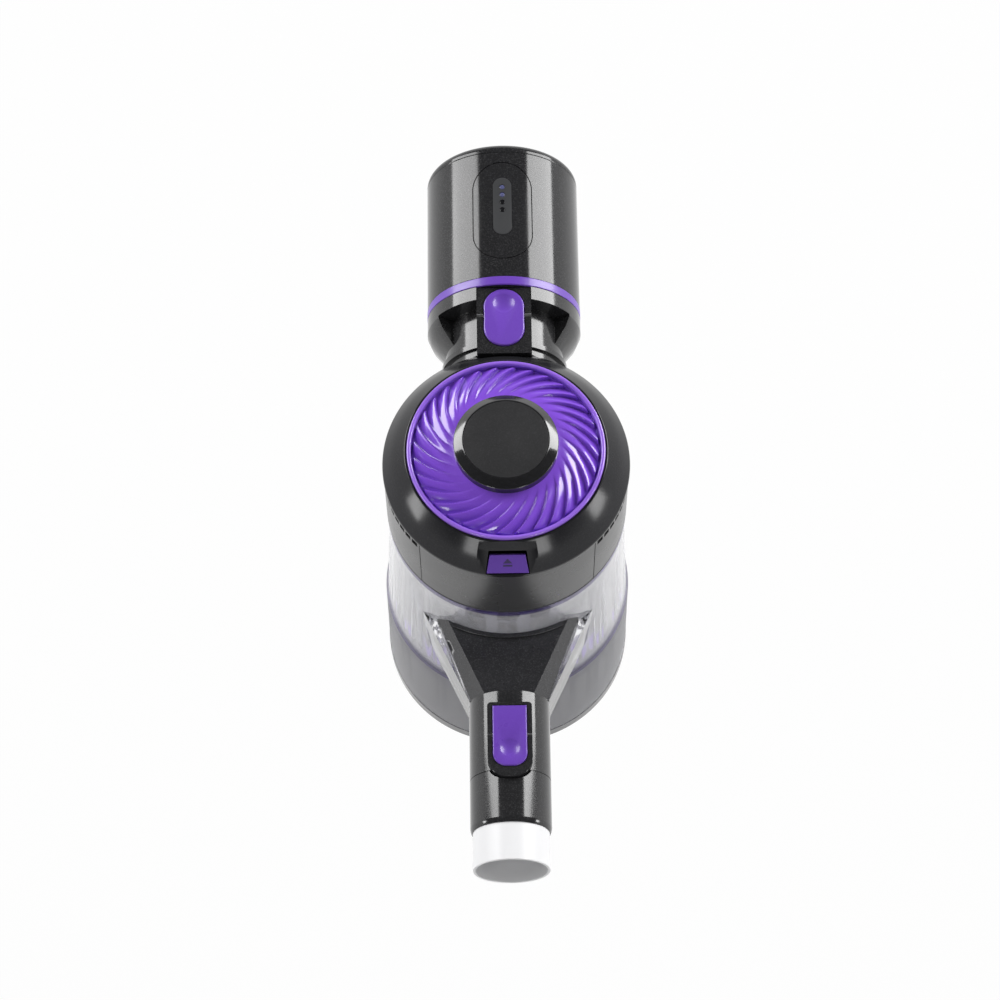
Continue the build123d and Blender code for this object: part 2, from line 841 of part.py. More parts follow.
def button_outline(plane, margin, uphill, downhill):
    """Trapezoid face of the bin button on the given plane."""
    with BuildSketch(plane) as outline:
        with BuildLine():
            Polyline(
                (-button_half_bottom - margin, -button_half_height - downhill),
                (button_half_bottom + margin, -button_half_height - downhill),
                (button_half_top + margin, button_half_height + uphill),
                (-button_half_top - margin, button_half_height + uphill),
                close=True,
            )
        make_face()
    return outline.sketch


slide_uphill = button_travel * math.cos(slope) + button_gap
stem_front = tab_face + stem_gap
scoop_floor_outline = button_outline(button_plane, button_gap, slide_uphill, scoop_rim)
scoop_mouth_outline = button_outline(
    button_plane.offset(scoop_depth), scoop_spread, slide_uphill + scoop_spread / 2, scoop_rim + scoop_depth
)
button_window = button_outline(button_plane.offset(fit), button_gap, slide_uphill, button_gap)
button_face = button_outline(button_plane, 0, 0, 0)

# Top cap: a hollow ring with the scoop for the bin button in front and a notch for the dock block behind
solid_turn = math.radians(cap_solid_angle)
hollow_plane = Plane(
    origin=(0, 0, 0),
    x_dir=(math.sin(solid_turn), -math.cos(solid_turn), 0),
    z_dir=(-math.cos(solid_turn), -math.sin(solid_turn), 0),
)
with BuildPart() as top_cap:
    with BuildSketch(Plane.XZ):
        with BuildLine():
            skirt = Line((cap_radius, cap_bottom), (cap_radius, cap_bottom + cap_rim_height))
            crown = ThreePointArc(
                skirt @ 1,
                (cap_shoulder_radius, housing_top + cap_shoulder_height),
                (cap_bore + cap_edge, cap_top),
            )
            Polyline(
                crown @ 1,
                (cap_bore, cap_top),
                (cap_bore, cover_bottom),
                (cap_web_radius, cover_bottom),
                (cap_web_radius, cap_bottom),
                skirt @ 0,
            )
        make_face()
    revolve(axis=Axis.Z)
    with BuildSketch(hollow_plane):
        with BuildLine():
            Polyline(
                (cap_radius - cap_wall, cap_bottom),
                (cap_radius - cap_wall, cap_bottom + cap_rim_height - cap_wall / 4),
                (cap_shoulder_radius - cap_wall, housing_top + cap_shoulder_height - cap_wall / 2),
                (cap_bore + cap_wall, cap_top - 1.5 * cap_wall),
                (cap_bore + cap_wall, cap_bottom),
                close=True,
            )
        make_face()
    revolve(axis=Axis.Z, revolution_arc=360 - 2 * cap_solid_angle, mode=Mode.SUBTRACT)
    loft([scoop_floor_outline.face(), scoop_mouth_outline.face()], ruled=True, mode=Mode.SUBTRACT)
    extrude(button_window.face(), amount=-2 * cap_height, mode=Mode.SUBTRACT)
    with BuildSketch(Plane.XY.offset(cap_bottom)):
        with Locations((0, stem_front - fit)):
            Rectangle(2 * (stem_half + fit), -stem_front + fit - cap_bore, align=(Align.CENTER, Align.MIN))
    extrude(amount=cap_shoulder_height, mode=Mode.SUBTRACT)
    with BuildSketch(Plane.XY.offset(neck_top)):
        with Locations((0, block_front - seat_gap)):
            Rectangle(2 * (block_half + seat_gap), cap_radius, align=(Align.CENTER, Align.MIN))
    extrude(amount=cap_height, mode=Mode.SUBTRACT)
top_cap.part.label = "top_cap"
export_step(top_cap.part, "parts/top_cap.step")

# Purple bin button with a stem that reaches down to the bin's catch tab
with BuildPart() as bin_button:
    extrude(button_face.face(), amount=-button_thick)
    with BuildSketch(Plane.XY.offset(bin_top + bin_tab_rise - bin_tab_window - stem_foot / 2)):
        with Locations((0, stem_front)):
            Rectangle(2 * stem_half, stem_thick, align=(Align.CENTER, Align.MIN))
    extrude(until=Until.NEXT, target=extrude(button_face.face(), amount=-button_thick, mode=Mode.PRIVATE))
    with BuildSketch(Plane.XY.offset(bin_top + bin_tab_rise - bin_tab_window - stem_foot / 2)):
        with Locations((0, stem_front - stem_gap + fit)):
            Rectangle(2 * stem_half, stem_thick + stem_gap - fit, align=(Align.CENTER, Align.MIN))
    extrude(amount=stem_foot)
bin_button.part.label = "bin_button"
export_step(bin_button.part, "parts/bin_button.step")

# One spiral vane: a wedge lofted through sections that turn as they move outwards
cover_fall = cover_hub_z - cover_edge_z
vane_start = hub_radius + seat_gap
vane_end = cover_rim_inner + vane_sink
with BuildPart() as vane:
    for i in range(vane_sections):
        share = i / (vane_sections - 1)
        radius = vane_start + share * (vane_end - vane_start)
        turn = math.radians(-vane_sweep * share)
        outward = Vector(math.cos(turn), math.sin(turn), 0)
        along = Vector(-math.sin(turn), math.cos(turn), 0)
        fall = cover_fall * (radius - hub_radius) / (cover_rim_inner - hub_radius)
        foot = outward * radius + Vector(0, 0, cover_hub_z - fall)
        width = vane_share * math.tau * radius / vane_count
        height = vane_inner_height + share * (vane_height - vane_inner_height)
        with BuildSketch(Plane(origin=foot, x_dir=along, z_dir=outward)):
            with BuildLine():
                Polyline((0, -vane_sink), (width, -vane_sink), (width, 0), (0, height), close=True)
            make_face()
    loft(ruled=True)

# Purple swirl cover: a raised lip, a sloping dish and a ring of spiral vanes
with BuildPart() as swirl_cover:
    with BuildSketch(Plane.XZ):
        with BuildLine():
            Polyline(
                (cover_radius, cover_bottom),
                (cover_radius, cap_top + cover_lip),
                (cover_rim_inner, cap_top + cover_lip),
                (cover_rim_inner, cover_edge_z),
                (hub_radius, cover_hub_z),
                (hub_bore, cover_hub_z),
                (hub_bore, cover_hub_z - cover_plate),
                (hub_radius, cover_hub_z - cover_plate),
                (cover_rim_inner, cover_edge_z - cover_plate),
                (cover_rim_inner, cover_bottom),
                close=True,
            )
        make_face()
    revolve(axis=Axis.Z)
    lip_z = cap_top + cover_lip
    fillet(edges().filter_by_position(Axis.Z, lip_z, lip_z), cover_lip_round)
    with PolarLocations(0, vane_count):
        add(vane.part)
swirl_cover.part.label = "swirl_cover"
export_step(swirl_cover.part, "parts/swirl_cover.step")

# Black hub cap with a wide bevel
with BuildPart() as hub_cap:
    with BuildSketch(Plane.XZ):
        with BuildLine():
            Polyline(
                (0, cover_hub_z),
                (hub_radius, cover_hub_z),
                (hub_radius, cover_hub_z + hub_step),
                (hub_top_radius, cover_hub_z + hub_height),
                (0, cover_hub_z + hub_height),
                close=True,
            )
        make_face()
    revolve(axis=Axis.Z)
    fillet(edges().group_by(Axis.Z)[-1], hub_round)
hub_cap.part.label = "hub_cap"
export_step(hub_cap.part, "parts/hub_cap.step")

# Felt ring that filters the exhaust
with BuildPart() as post_filter:
    with BuildSketch(Plane.XY.offset(cover_bottom)):
        Circle(cover_rim_inner - fit)
        Circle(post_filter_bore, mode=Mode.SUBTRACT)
    extrude(amount=post_filter_height)
post_filter.part.label = "post_filter"
export_step(post_filter.part, "parts/post_filter.step")

# Motor: gasket, can, bearings, stator, shaft with its magnet, and impeller
can_bottom = floor_top + gasket_height
bell_top = can_bottom + can_bell_height
can_top = bell_top + can_barrel_height
with BuildPart() as motor_gasket:
    with BuildSketch(Plane.XY.offset(floor_top)):
        Circle(can_radius)
        Circle(can_radius - gasket_width, mode=Mode.SUBTRACT)
    extrude(amount=gasket_height)
motor_gasket.part.label = "motor_gasket"
export_step(motor_gasket.part, "parts/motor_gasket.step")

with BuildPart() as motor_can:
    with BuildSketch(Plane.XZ):
        with BuildLine():
            Polyline(
                (can_radius - gasket_width, can_bottom),
                (can_radius, can_bottom),
                (can_radius, bell_top),
                (can_barrel_radius, bell_top),
                (can_barrel_radius, can_top),
                (bearing_radius, can_top),
                (bearing_radius, can_top - bearing_height),
                (bearing_radius + bearing_boss, can_top - bearing_height),
                (bearing_radius + bearing_boss, can_top - can_wall),
                (can_barrel_radius - can_wall, can_top - can_wall),
                (can_barrel_radius - can_wall, bell_top),
                (bearing_radius, bell_top),
                (bearing_radius, bell_top - bearing_height),
                (bearing_radius + bearing_boss, bell_top - bearing_height),
                (bearing_radius + bearing_boss, bell_top - can_wall),
                (can_radius - can_wall, bell_top - can_wall),
                (can_radius - can_wall, can_bottom + can_wall),
                (can_radius - gasket_width, can_bottom + can_wall),
                close=True,
            )
        make_face()
    revolve(axis=Axis.Z)
    with BuildSketch(Plane.XY.offset(bell_top - can_wall)):
        with PolarLocations(can_hole_circle, can_hole_count):
            Circle(can_hole_radius)
    extrude(amount=can_wall + can_barrel_height, mode=Mode.SUBTRACT)
motor_can.part.label = "motor_can"
export_step(motor_can.part, "parts/motor_can.step")

with BuildPart() as motor_bearings:
    for top in (bell_top, can_top):
        with BuildSketch(Plane.XY.offset(top - bearing_height)):
            Circle(bearing_radius)
            Circle(shaft_radius + run_gap, mode=Mode.SUBTRACT)
        extrude(amount=bearing_height)
motor_bearings.part.label = "motor_bearings"
export_step(motor_bearings.part, "parts/motor_bearings.step")

stator_bottom = (bell_top + can_top - stator_height) / 2
with BuildPart() as motor_stator:
    with BuildSketch(Plane.XY.offset(stator_bottom)):
        Circle(can_barrel_radius - can_wall)
        Circle(stator_bore, mode=Mode.SUBTRACT)
    extrude(amount=stator_height)
motor_stator.part.label = "motor_stator"
export_step(motor_stator.part, "parts/motor_stator.step")

impeller_top = bell_top - bearing_height - fit
impeller_bottom = impeller_top - impeller_disc - impeller_blade_height
with BuildPart() as motor_shaft:
    with BuildSketch(Plane.XY.offset(impeller_bottom)):
        Circle(shaft_radius)
    extrude(amount=can_top + shaft_stub - impeller_bottom)
motor_shaft.part.label = "motor_shaft"
export_step(motor_shaft.part, "parts/motor_shaft.step")

with BuildPart() as rotor_magnet:
    with BuildSketch(Plane.XY.offset(stator_bottom)):
        Circle(stator_bore - magnet_gap)
        Circle(shaft_radius, mode=Mode.SUBTRACT)
    extrude(amount=stator_height)
rotor_magnet.part.label = "rotor_magnet"
export_step(rotor_magnet.part, "parts/rotor_magnet.step")


def polar(radius, degrees):
    """Point on a circle about the origin."""
    turn = math.radians(degrees)
    return (radius * math.cos(turn), radius * math.sin(turn))


with BuildPart() as impeller:
    with BuildSketch(Plane.XY.offset(impeller_top - impeller_disc)):
        Circle(impeller_radius)
    extrude(amount=impeller_disc)
    with BuildSketch(Plane.XY.offset(impeller_bottom)):
        Circle(impeller_hub_radius)
    extrude(amount=impeller_blade_height)
    for i in range(impeller_blade_count):
        root = 360 * i / impeller_blade_count
        stops = []
        for share in (0, 0.5, 1):
            radius = impeller_hub_radius - impeller_blade_wall
            radius += share * (impeller_radius - radius)
            lead = root + impeller_blade_turn * share**2
            stops.append((radius, lead, lead + math.degrees(impeller_blade_wall / radius)))
        with BuildSketch(Plane.XY.offset(impeller_bottom)):
            with BuildLine():
                ThreePointArc(*[polar(radius, lead) for radius, lead, trail in stops])
                ThreePointArc(*[polar(radius, trail) for radius, lead, trail in stops])
                for radius, lead, trail in (stops[0], stops[-1]):
                    Line(polar(radius, lead), polar(radius, trail))
            make_face()
        extrude(amount=impeller_blade_height)
    with BuildSketch(Plane.XY.offset(impeller_bottom)):
        Circle(shaft_radius)
    extrude(amount=impeller_blade_height + impeller_disc, mode=Mode.SUBTRACT)
impeller.part.label = "impeller"
export_step(impeller.part, "parts/impeller.step")

# Filter shroud with open windows, closed below
shroud_bottom = floor_bottom - shroud_flange - shroud_length
shroud_bore = shroud_radius - shroud_wall
with BuildPart() as filter_shroud:
    with BuildSketch(Plane.XZ):
        with BuildLine():
            Polyline(
                (shroud_bore, floor_bottom),
                (shroud_flange_radius, floor_bottom),
                (shroud_flange_radius, floor_bottom - shroud_flange),
                (shroud_radius, floor_bottom - shroud_flange),
                (shroud_radius, shroud_bottom),
                (0, shroud_bottom),
                (0, shroud_bottom + shroud_wall),
                (shroud_bore, shroud_bottom + shroud_wall),
                close=True,
            )
        make_face()
    revolve(axis=Axis.Z)
    windows = []
    slot_span = (shroud_slot_rows - 1) * shroud_slot_pitch
    for row in range(shroud_slot_rows):
        height = shroud_bottom + (shroud_length - slot_span) / 2 + row * shroud_slot_pitch
        for i in range(shroud_slot_count):
            turn = 360 * i / shroud_slot_count
            windows.append(Pos(0, 0, height) * Rot(0, 0, turn) * Pos(shroud_radius, 0, 0))
    with Locations(*windows):
        Box(4 * shroud_wall, shroud_slot_width, shroud_slot_height, mode=Mode.SUBTRACT)
filter_shroud.part.label = "filter_shroud"
export_step(filter_shroud.part, "parts/filter_shroud.step")

# Pleated filter inside the shroud
pleat_radius = shroud_bore - fit
with BuildPart() as pre_filter:
    pleats = []
    for i in range(2 * pleat_count):
        radius = pleat_radius - pleat_depth * (i % 2)
        pleats.append(polar(radius, 180 * i / pleat_count))
    with BuildSketch(Plane.XY.offset(shroud_bottom + shroud_wall)):
        with BuildLine():
            Polyline(*pleats, close=True)
        make_face()
        Circle(pleat_radius - pre_filter_wall, mode=Mode.SUBTRACT)
    extrude(amount=floor_bottom - shroud_bottom - shroud_wall - fit)
pre_filter.part.label = "pre_filter"
export_step(pre_filter.part, "parts/pre_filter.step")

# Dark skirt that throws the dust outwards
skirt_bottom = shroud_bottom + skirt_rise - skirt_height
with BuildPart() as filter_skirt:
    with BuildSketch(Plane.XZ):
        with BuildLine():
            Polyline(
                (shroud_radius + seat_gap, shroud_bottom + skirt_rise),
                (shroud_radius + skirt_wall, shroud_bottom + skirt_rise),
                (skirt_radius, skirt_bottom),
                (skirt_radius - skirt_wall, skirt_bottom),
                (shroud_radius + seat_gap, shroud_bottom + skirt_rise - skirt_wall),
                close=True,
            )
        make_face()
    revolve(axis=Axis.Z)
filter_skirt.part.label = "filter_skirt"
export_step(filter_skirt.part, "parts/filter_skirt.step")

# Purple cone under the shroud
cone_bottom = shroud_bottom - cone_height
with BuildPart() as cyclone_cone:
    with BuildSketch(Plane.XZ):
        with BuildLine():
            Polyline(
                (cone_top_radius - cone_wall, shroud_bottom),
                (cone_top_radius, shroud_bottom),
                (cone_radius, cone_bottom + cone_rim),
                (cone_radius, cone_bottom),
                (cone_radius - cone_wall, cone_bottom),
                (cone_radius - cone_wall, cone_bottom + cone_rim),
                close=True,
            )
        make_face()
    revolve(axis=Axis.Z)
cyclone_cone.part.label = "cyclone_cone"
export_step(cyclone_cone.part, "parts/cyclone_cone.step")

# Dock: a neck behind the housing that widens to the collar which holds the battery
boss_bottom = housing_bottom + boss_margin
boss_height = housing_height - 2 * boss_margin
dock_outline = [
    (neck_start, neck_radius),
    (flange_start, neck_radius),
    (flange_start, flange_radius),
    (flange_end, flange_radius),
    (flange_end, neck_radius),
    (dock_cone_start, neck_radius),
    (dock_cone_start + dock_cone_bend, dock_bend_radius),
    (dock_cone_end, dock_radius),
    (dock_end, dock_radius),
]
nose_y = dock_end - release_nose_inset - seat_gap
block_base = battery_z + math.sqrt(neck_radius**2 - block_half**2)
pocket_turn = math.radians(pocket_angle)
pocket_plane = Plane(
    origin=(0, 0, battery_z),
    x_dir=(0, 1, 0),
    z_dir=(math.cos(pocket_turn), 0, math.sin(pocket_turn)),
)
with BuildPart() as dock_shell:
    with BuildSketch(battery_side):
        with BuildLine():
            Polyline(
                (neck_start, neck_bore),
                *dock_outline,
                (dock_end, plug_bore),
                (bore_floor, plug_bore),
                (bore_floor, neck_bore),
                close=True,
            )
        make_face()
    revolve(axis=battery_axis)
    with BuildSketch(pocket_plane):
        with BuildLine():
            Polyline(
                (flange_end, neck_radius),
                (pocket_end, neck_radius),
                (pocket_end, 2 * dock_radius),
                (flange_end, 2 * dock_radius),
                close=True,
            )
        make_face()
    revolve(axis=battery_axis, revolution_arc=2 * pocket_angle, mode=Mode.SUBTRACT)
    with BuildSketch(Plane.XY.offset(block_base - seat_gap)):
        with Locations((0, dock_end)):
            Rectangle(2 * (block_half + seat_gap), dock_end - pocket_end, align=(Align.CENTER, Align.MAX))
    extrude(amount=dock_radius, mode=Mode.SUBTRACT)
    with BuildSketch(Plane.XY):
        Circle(dock_face)
    extrude(amount=2 * battery_z, mode=Mode.SUBTRACT)
    with BuildSketch(facing_back(boss_rear + seat_gap)):
        with Locations((0, boss_bottom + boss_height / 2)):
            Rectangle(2 * (boss_half + seat_gap), boss_height + 2 * seat_gap)
    extrude(amount=boss_rear, mode=Mode.SUBTRACT)
    with BuildSketch(Plane.XY.offset(battery_z)):
        with Locations((0, nose_y + fit)):
            Rectangle(2 * (release_nose_half + fit), release_nose_length + 2 * fit + release_swing,
                      align=(Align.CENTER, Align.MAX))
    extrude(amount=dock_radius, mode=Mode.SUBTRACT)
dock_shell.part.label = "dock_shell"
export_step(dock_shell.part, "parts/dock_shell.step")

# Block between the pockets, with rails beside the release button
release_rear = dock_end - fit - block_end_wall
release_front = release_rear - release_length
release_middle = (release_front + release_rear) / 2
release_pivot = release_rear - release_pivot_inset
release_top_z = block_top + release_rise
release_pin_z = release_top_z - release_thick / 2
release_floor_z = release_top_z - release_thick - release_spring_room
with BuildPart() as dock_block:
    with BuildSketch(Plane.XY.offset(neck_top + seat_gap)):
        with Locations((0, block_front)):
            Rectangle(2 * block_half, dock_end - block_front, align=(Align.CENTER, Align.MIN))
    extrude(amount=block_top - neck_top - seat_gap)
    with BuildSketch(Plane.XY.offset(block_base)):
        with Locations((0, flange_end)):
            Rectangle(2 * block_half, pocket_end - flange_end, align=(Align.CENTER, Align.MIN))
    extrude(amount=block_top - block_base)
    with BuildSketch(facing_back(dock_end)):
        with Locations((0, battery_z)):
            Circle(neck_radius + seat_gap)
    extrude(amount=dock_end - dock_face, mode=Mode.SUBTRACT)
    with BuildSketch(facing_back(flange_end + seat_gap)):
        with Locations((0, battery_z)):
            Circle(flange_radius + seat_gap)
    extrude(amount=flange_width + 2 * seat_gap, mode=Mode.SUBTRACT)
    with BuildSketch(Plane.XY.offset(release_floor_z)):
        with Locations((0, release_middle)):
            SlotOverall(release_length + 2 * fit, 2 * (release_half + fit), rotation=90)
    extrude(amount=block_height, mode=Mode.SUBTRACT)
    with BuildSketch(Plane.YZ.offset(-block_half)):
        with Locations((release_pivot, release_pin_z)):
            Circle(release_pin_radius)
    extrude(amount=2 * block_half, mode=Mode.SUBTRACT)
    with BuildSketch(Plane.XY.offset(battery_z)):
        with Locations((0, nose_y + fit)):
            Rectangle(2 * (release_nose_half + fit), release_nose_length + 2 * fit + release_swing,
                      align=(Align.CENTER, Align.MAX))
    extrude(amount=release_floor_z - battery_z, mode=Mode.SUBTRACT)
dock_block.part.label = "dock_block"
export_step(dock_block.part, "parts/dock_block.step")

# Purple battery button: a rocker with a thumb dimple and a catch nose
with BuildPart() as battery_button:
    with BuildSketch(Plane.XY.offset(release_top_z - release_thick)):
        with Locations((0, release_middle)):
            SlotOverall(release_length, 2 * release_half, rotation=90)
    extrude(amount=release_thick)
    fillet(faces().sort_by(Axis.Z)[-1].edges(), release_rise)
    with BuildSketch(Plane.XY.offset(battery_z + plug_bore)):
        with Locations((0, nose_y)):
            Rectangle(2 * release_nose_half, release_nose_length, align=(Align.CENTER, Align.MAX))
    extrude(amount=release_pin_z - battery_z - plug_bore)
    with BuildSketch(Plane.YZ.offset(-release_half)):
        with Locations((release_pivot, release_pin_z)):
            Circle(release_pin_radius + run_gap)
    extrude(amount=2 * release_half, mode=Mode.SUBTRACT)
    release_ball = 2 * release_dimple_radius
    release_dip = release_ball - math.sqrt(release_ball**2 - release_dimple_radius**2)
    with Locations((0, release_rear - release_dimple_inset, release_top_z + release_ball - release_dip)):
        Sphere(release_ball, mode=Mode.SUBTRACT)
battery_button.part.label = "battery_button"
export_step(battery_button.part, "parts/battery_button.step")

with BuildPart() as battery_button_pin:
    with BuildSketch(Plane.YZ.offset(-block_half)):
        with Locations((release_pivot, release_pin_z)):
            Circle(release_pin_radius)
    extrude(amount=2 * block_half)
battery_button_pin.part.label = "battery_button_pin"
export_step(battery_button_pin.part, "parts/battery_button_pin.step")

release_coil, release_coil_gap = coil_spring(
    release_coil_radius, release_coil_wire, release_spring_room, coil_turns
)
with BuildPart() as battery_button_spring:
    with Locations((0, release_rear - release_dimple_inset, release_floor_z)):
        add(release_coil)
battery_button_spring.part.label = "battery_button_spring"
export_step(battery_button_spring.part, "parts/battery_button_spring.step")
print("least gap between spring turns:", round(min(wand_coil_gap, release_coil_gap), 2), "mm")

# Blade terminals on the floor of the dock
with BuildPart() as dock_terminals:
    with BuildSketch(facing_back(bore_floor)):
        with Locations((-blade_half_gap, battery_z), (blade_half_gap, battery_z)):
            Rectangle(blade_thick, blade_height)
    extrude(amount=-blade_length)
dock_terminals.part.label = "dock_terminals"
export_step(dock_terminals.part, "parts/dock_terminals.step")


def top_patch(width, length, rear, outer, depth):
    """Stadium-shaped patch of the battery's wall, as seen from above."""
    with BuildPart() as patch:
        with BuildSketch(facing_back(rear)):
            with Locations((0, battery_z)):
                Circle(outer)
                Circle(outer - depth, mode=Mode.SUBTRACT)
        extrude(amount=length)
        with BuildSketch(Plane.XY.offset(battery_z)):
            with Locations((0, rear - length / 2)):
                SlotOverall(length, width, rotation=90)
        extrude(amount=2 * outer, mode=Mode.INTERSECT)
    return patch.part


# Battery: shell with its plug, trim ring, end cap, indicator panel and cells
ring_end = shell_front + ring_width
panel_rear = shell_front + panel_offset + panel_length
window_rear = shell_front + panel_offset + window_offset + window_length
slot_half = blade_thick / 2 + fit + clip_thick
panel_pocket = top_patch(
    panel_width + 2 * panel_groove,
    panel_length + 2 * panel_groove,
    panel_rear + panel_groove,
    battery_radius + panel_depth,
    2 * panel_depth,
)
panel_plate = top_patch(
    panel_width, panel_length, panel_rear, battery_radius - seat_gap, panel_depth - seat_gap
)
window_pocket = top_patch(
    window_width + 2 * seat_gap,
    window_length + 2 * seat_gap,
    window_rear + seat_gap,
    battery_radius + window_depth,
    2 * window_depth,
)
window_plate = top_patch(window_width, window_length, window_rear, battery_radius, window_depth - seat_gap)
light_places = []
for i in range(light_count):
    light_places.append((0, shell_front + panel_offset + window_offset + light_offset + i * light_pitch))

with BuildPart() as battery_shell:
    with BuildSketch(battery_side):
        with BuildLine():
            Polyline(
                (shell_front, battery_plug_radius - battery_plug_step),
                (shell_front, battery_radius - ring_depth),
                (ring_end, battery_radius - ring_depth),
                (ring_end, battery_radius),
                (shell_rear, battery_radius),
                (shell_rear, battery_radius - battery_wall),
                (shell_front + battery_wall, battery_radius - battery_wall),
                (shell_front + battery_wall, battery_plug_radius - battery_plug_step),
                close=True,
            )
        make_face()
    revolve(axis=battery_axis)
    add(panel_pocket, mode=Mode.SUBTRACT)
battery_shell.part.label = "battery_shell"
export_step(battery_shell.part, "parts/battery_shell.step")

with BuildPart() as battery_plug:
    with BuildSketch(battery_side):
        with BuildLine():
            Polyline(
                (plug_front, 0),
                (plug_front, battery_plug_radius),
                (shell_front, battery_plug_radius),
                (shell_front, battery_plug_radius - battery_plug_step - run_gap),
                (shell_front + battery_wall, battery_plug_radius - battery_plug_step - run_gap),
                (shell_front + battery_wall, 0),
                close=True,
            )
        make_face()
    revolve(axis=battery_axis)
    with BuildSketch(facing_back(plug_front)):
        with Locations((-blade_half_gap, battery_z), (blade_half_gap, battery_z)):
            Rectangle(2 * slot_half, blade_height + 2 * fit)
    extrude(amount=-blade_length - plug_floor_gap, mode=Mode.SUBTRACT)
    with BuildSketch(Plane.XY.offset(battery_z + battery_plug_radius - release_nose_half)):
        with Locations((0, nose_y + fit)):
            Rectangle(2 * (release_nose_half + fit), release_nose_length + 2 * fit,
                      align=(Align.CENTER, Align.MAX))
    extrude(amount=battery_plug_radius, mode=Mode.SUBTRACT)
battery_plug.part.label = "battery_plug"
export_step(battery_plug.part, "parts/battery_plug.step")

with BuildPart() as battery_ring:
    with BuildSketch(facing_back(ring_end)):
        with Locations((0, battery_z)):
            Circle(battery_radius + seat_gap)
            Circle(battery_radius - ring_depth + run_gap, mode=Mode.SUBTRACT)
    extrude(amount=ring_width)
battery_ring.part.label = "battery_ring"
export_step(battery_ring.part, "parts/battery_ring.step")

with BuildPart() as battery_end_cap:
    with BuildSketch(battery_side):
        with BuildLine():
            inside = Polyline(
                (shell_rear + end_cap_height, 0),
                (shell_rear, 0),
                (shell_rear, battery_radius - 2 * battery_wall),
                (shell_rear - end_cap_spigot, battery_radius - 2 * battery_wall),
                (shell_rear - end_cap_spigot, battery_radius - battery_wall - run_gap),
                (shell_rear, battery_radius - battery_wall - run_gap),
                (shell_rear, battery_radius),
                (shell_rear + end_cap_height - end_cap_round, battery_radius),
            )
            rim = JernArc(inside @ 1, (1, 0), end_cap_round, -90)
            Line(rim @ 1, inside @ 0)
        make_face()
    revolve(axis=battery_axis)
battery_end_cap.part.label = "battery_end_cap"
export_step(battery_end_cap.part, "parts/battery_end_cap.step")

with BuildPart() as battery_panel:
    add(panel_plate)
    add(window_pocket, mode=Mode.SUBTRACT)
battery_panel.part.label = "battery_panel"
export_step(battery_panel.part, "parts/battery_panel.step")

with BuildPart() as indicator_window:
    add(window_plate)
    with BuildSketch(Plane.XY.offset(battery_z)):
        with Locations(*light_places):
            Circle(light_radius + run_gap)
    extrude(amount=2 * battery_radius, mode=Mode.SUBTRACT)
indicator_window.part.label = "indicator_window"
export_step(indicator_window.part, "parts/indicator_window.step")

with BuildPart() as indicator_lights:
    with BuildSketch(Plane.XY.offset(battery_z + battery_radius - window_depth)):
        with Locations(*light_places):
            Circle(light_radius)
    extrude(amount=window_depth)
indicator_lights.part.label = "indicator_lights"
export_step(indicator_lights.part, "parts/indicator_lights.step")

cells_front = shell_front + battery_wall + board_thick + fit
with BuildPart() as battery_board:
    with BuildSketch(facing_back(shell_front + battery_wall + board_thick)):
        with Locations((0, battery_z)):
            Circle(cell_circle + cell_radius)
    extrude(amount=board_thick)
battery_board.part.label = "battery_board"
export_step(battery_board.part, "parts/battery_board.step")

with BuildPart() as battery_cells:
    with BuildSketch(facing_back(cells_front + cell_length)):
        with Locations((0, battery_z)):
            with PolarLocations(cell_circle, cell_count):
                Circle(cell_radius)
    extrude(amount=cell_length)
battery_cells.part.label = "battery_cells"
export_step(battery_cells.part, "parts/battery_cells.step")


def cell_holder(rear):
    """Plate with a hole for each cell."""
    with BuildPart() as plate:
        with BuildSketch(facing_back(rear)):
            with Locations((0, battery_z)):
                Circle(battery_radius - battery_wall - fit)
            with Locations((0, battery_z)):
                with PolarLocations(cell_circle, cell_count):
                    Circle(cell_radius + run_gap, mode=Mode.SUBTRACT)
        extrude(amount=holder_thick)
    return plate.part


with BuildPart() as cell_holder_front:
    add(cell_holder(cells_front + holder_thick))
cell_holder_front.part.label = "cell_holder_front"
export_step(cell_holder_front.part, "parts/cell_holder_front.step")

with BuildPart() as cell_holder_rear:
    add(cell_holder(cells_front + cell_length - fit))
cell_holder_rear.part.label = "cell_holder_rear"
export_step(cell_holder_rear.part, "parts/cell_holder_rear.step")

with BuildPart() as battery_terminals:
    clip_offset = blade_half_gap + slot_half - clip_thick / 2
    with BuildSketch(facing_back(plug_front + plug_floor_gap)):
        with Locations((-clip_offset, battery_z), (clip_offset, battery_z)):
            Rectangle(clip_thick, blade_height)
    extrude(amount=-blade_length)
battery_terminals.part.label = "battery_terminals"
export_step(battery_terminals.part, "parts/battery_terminals.step")

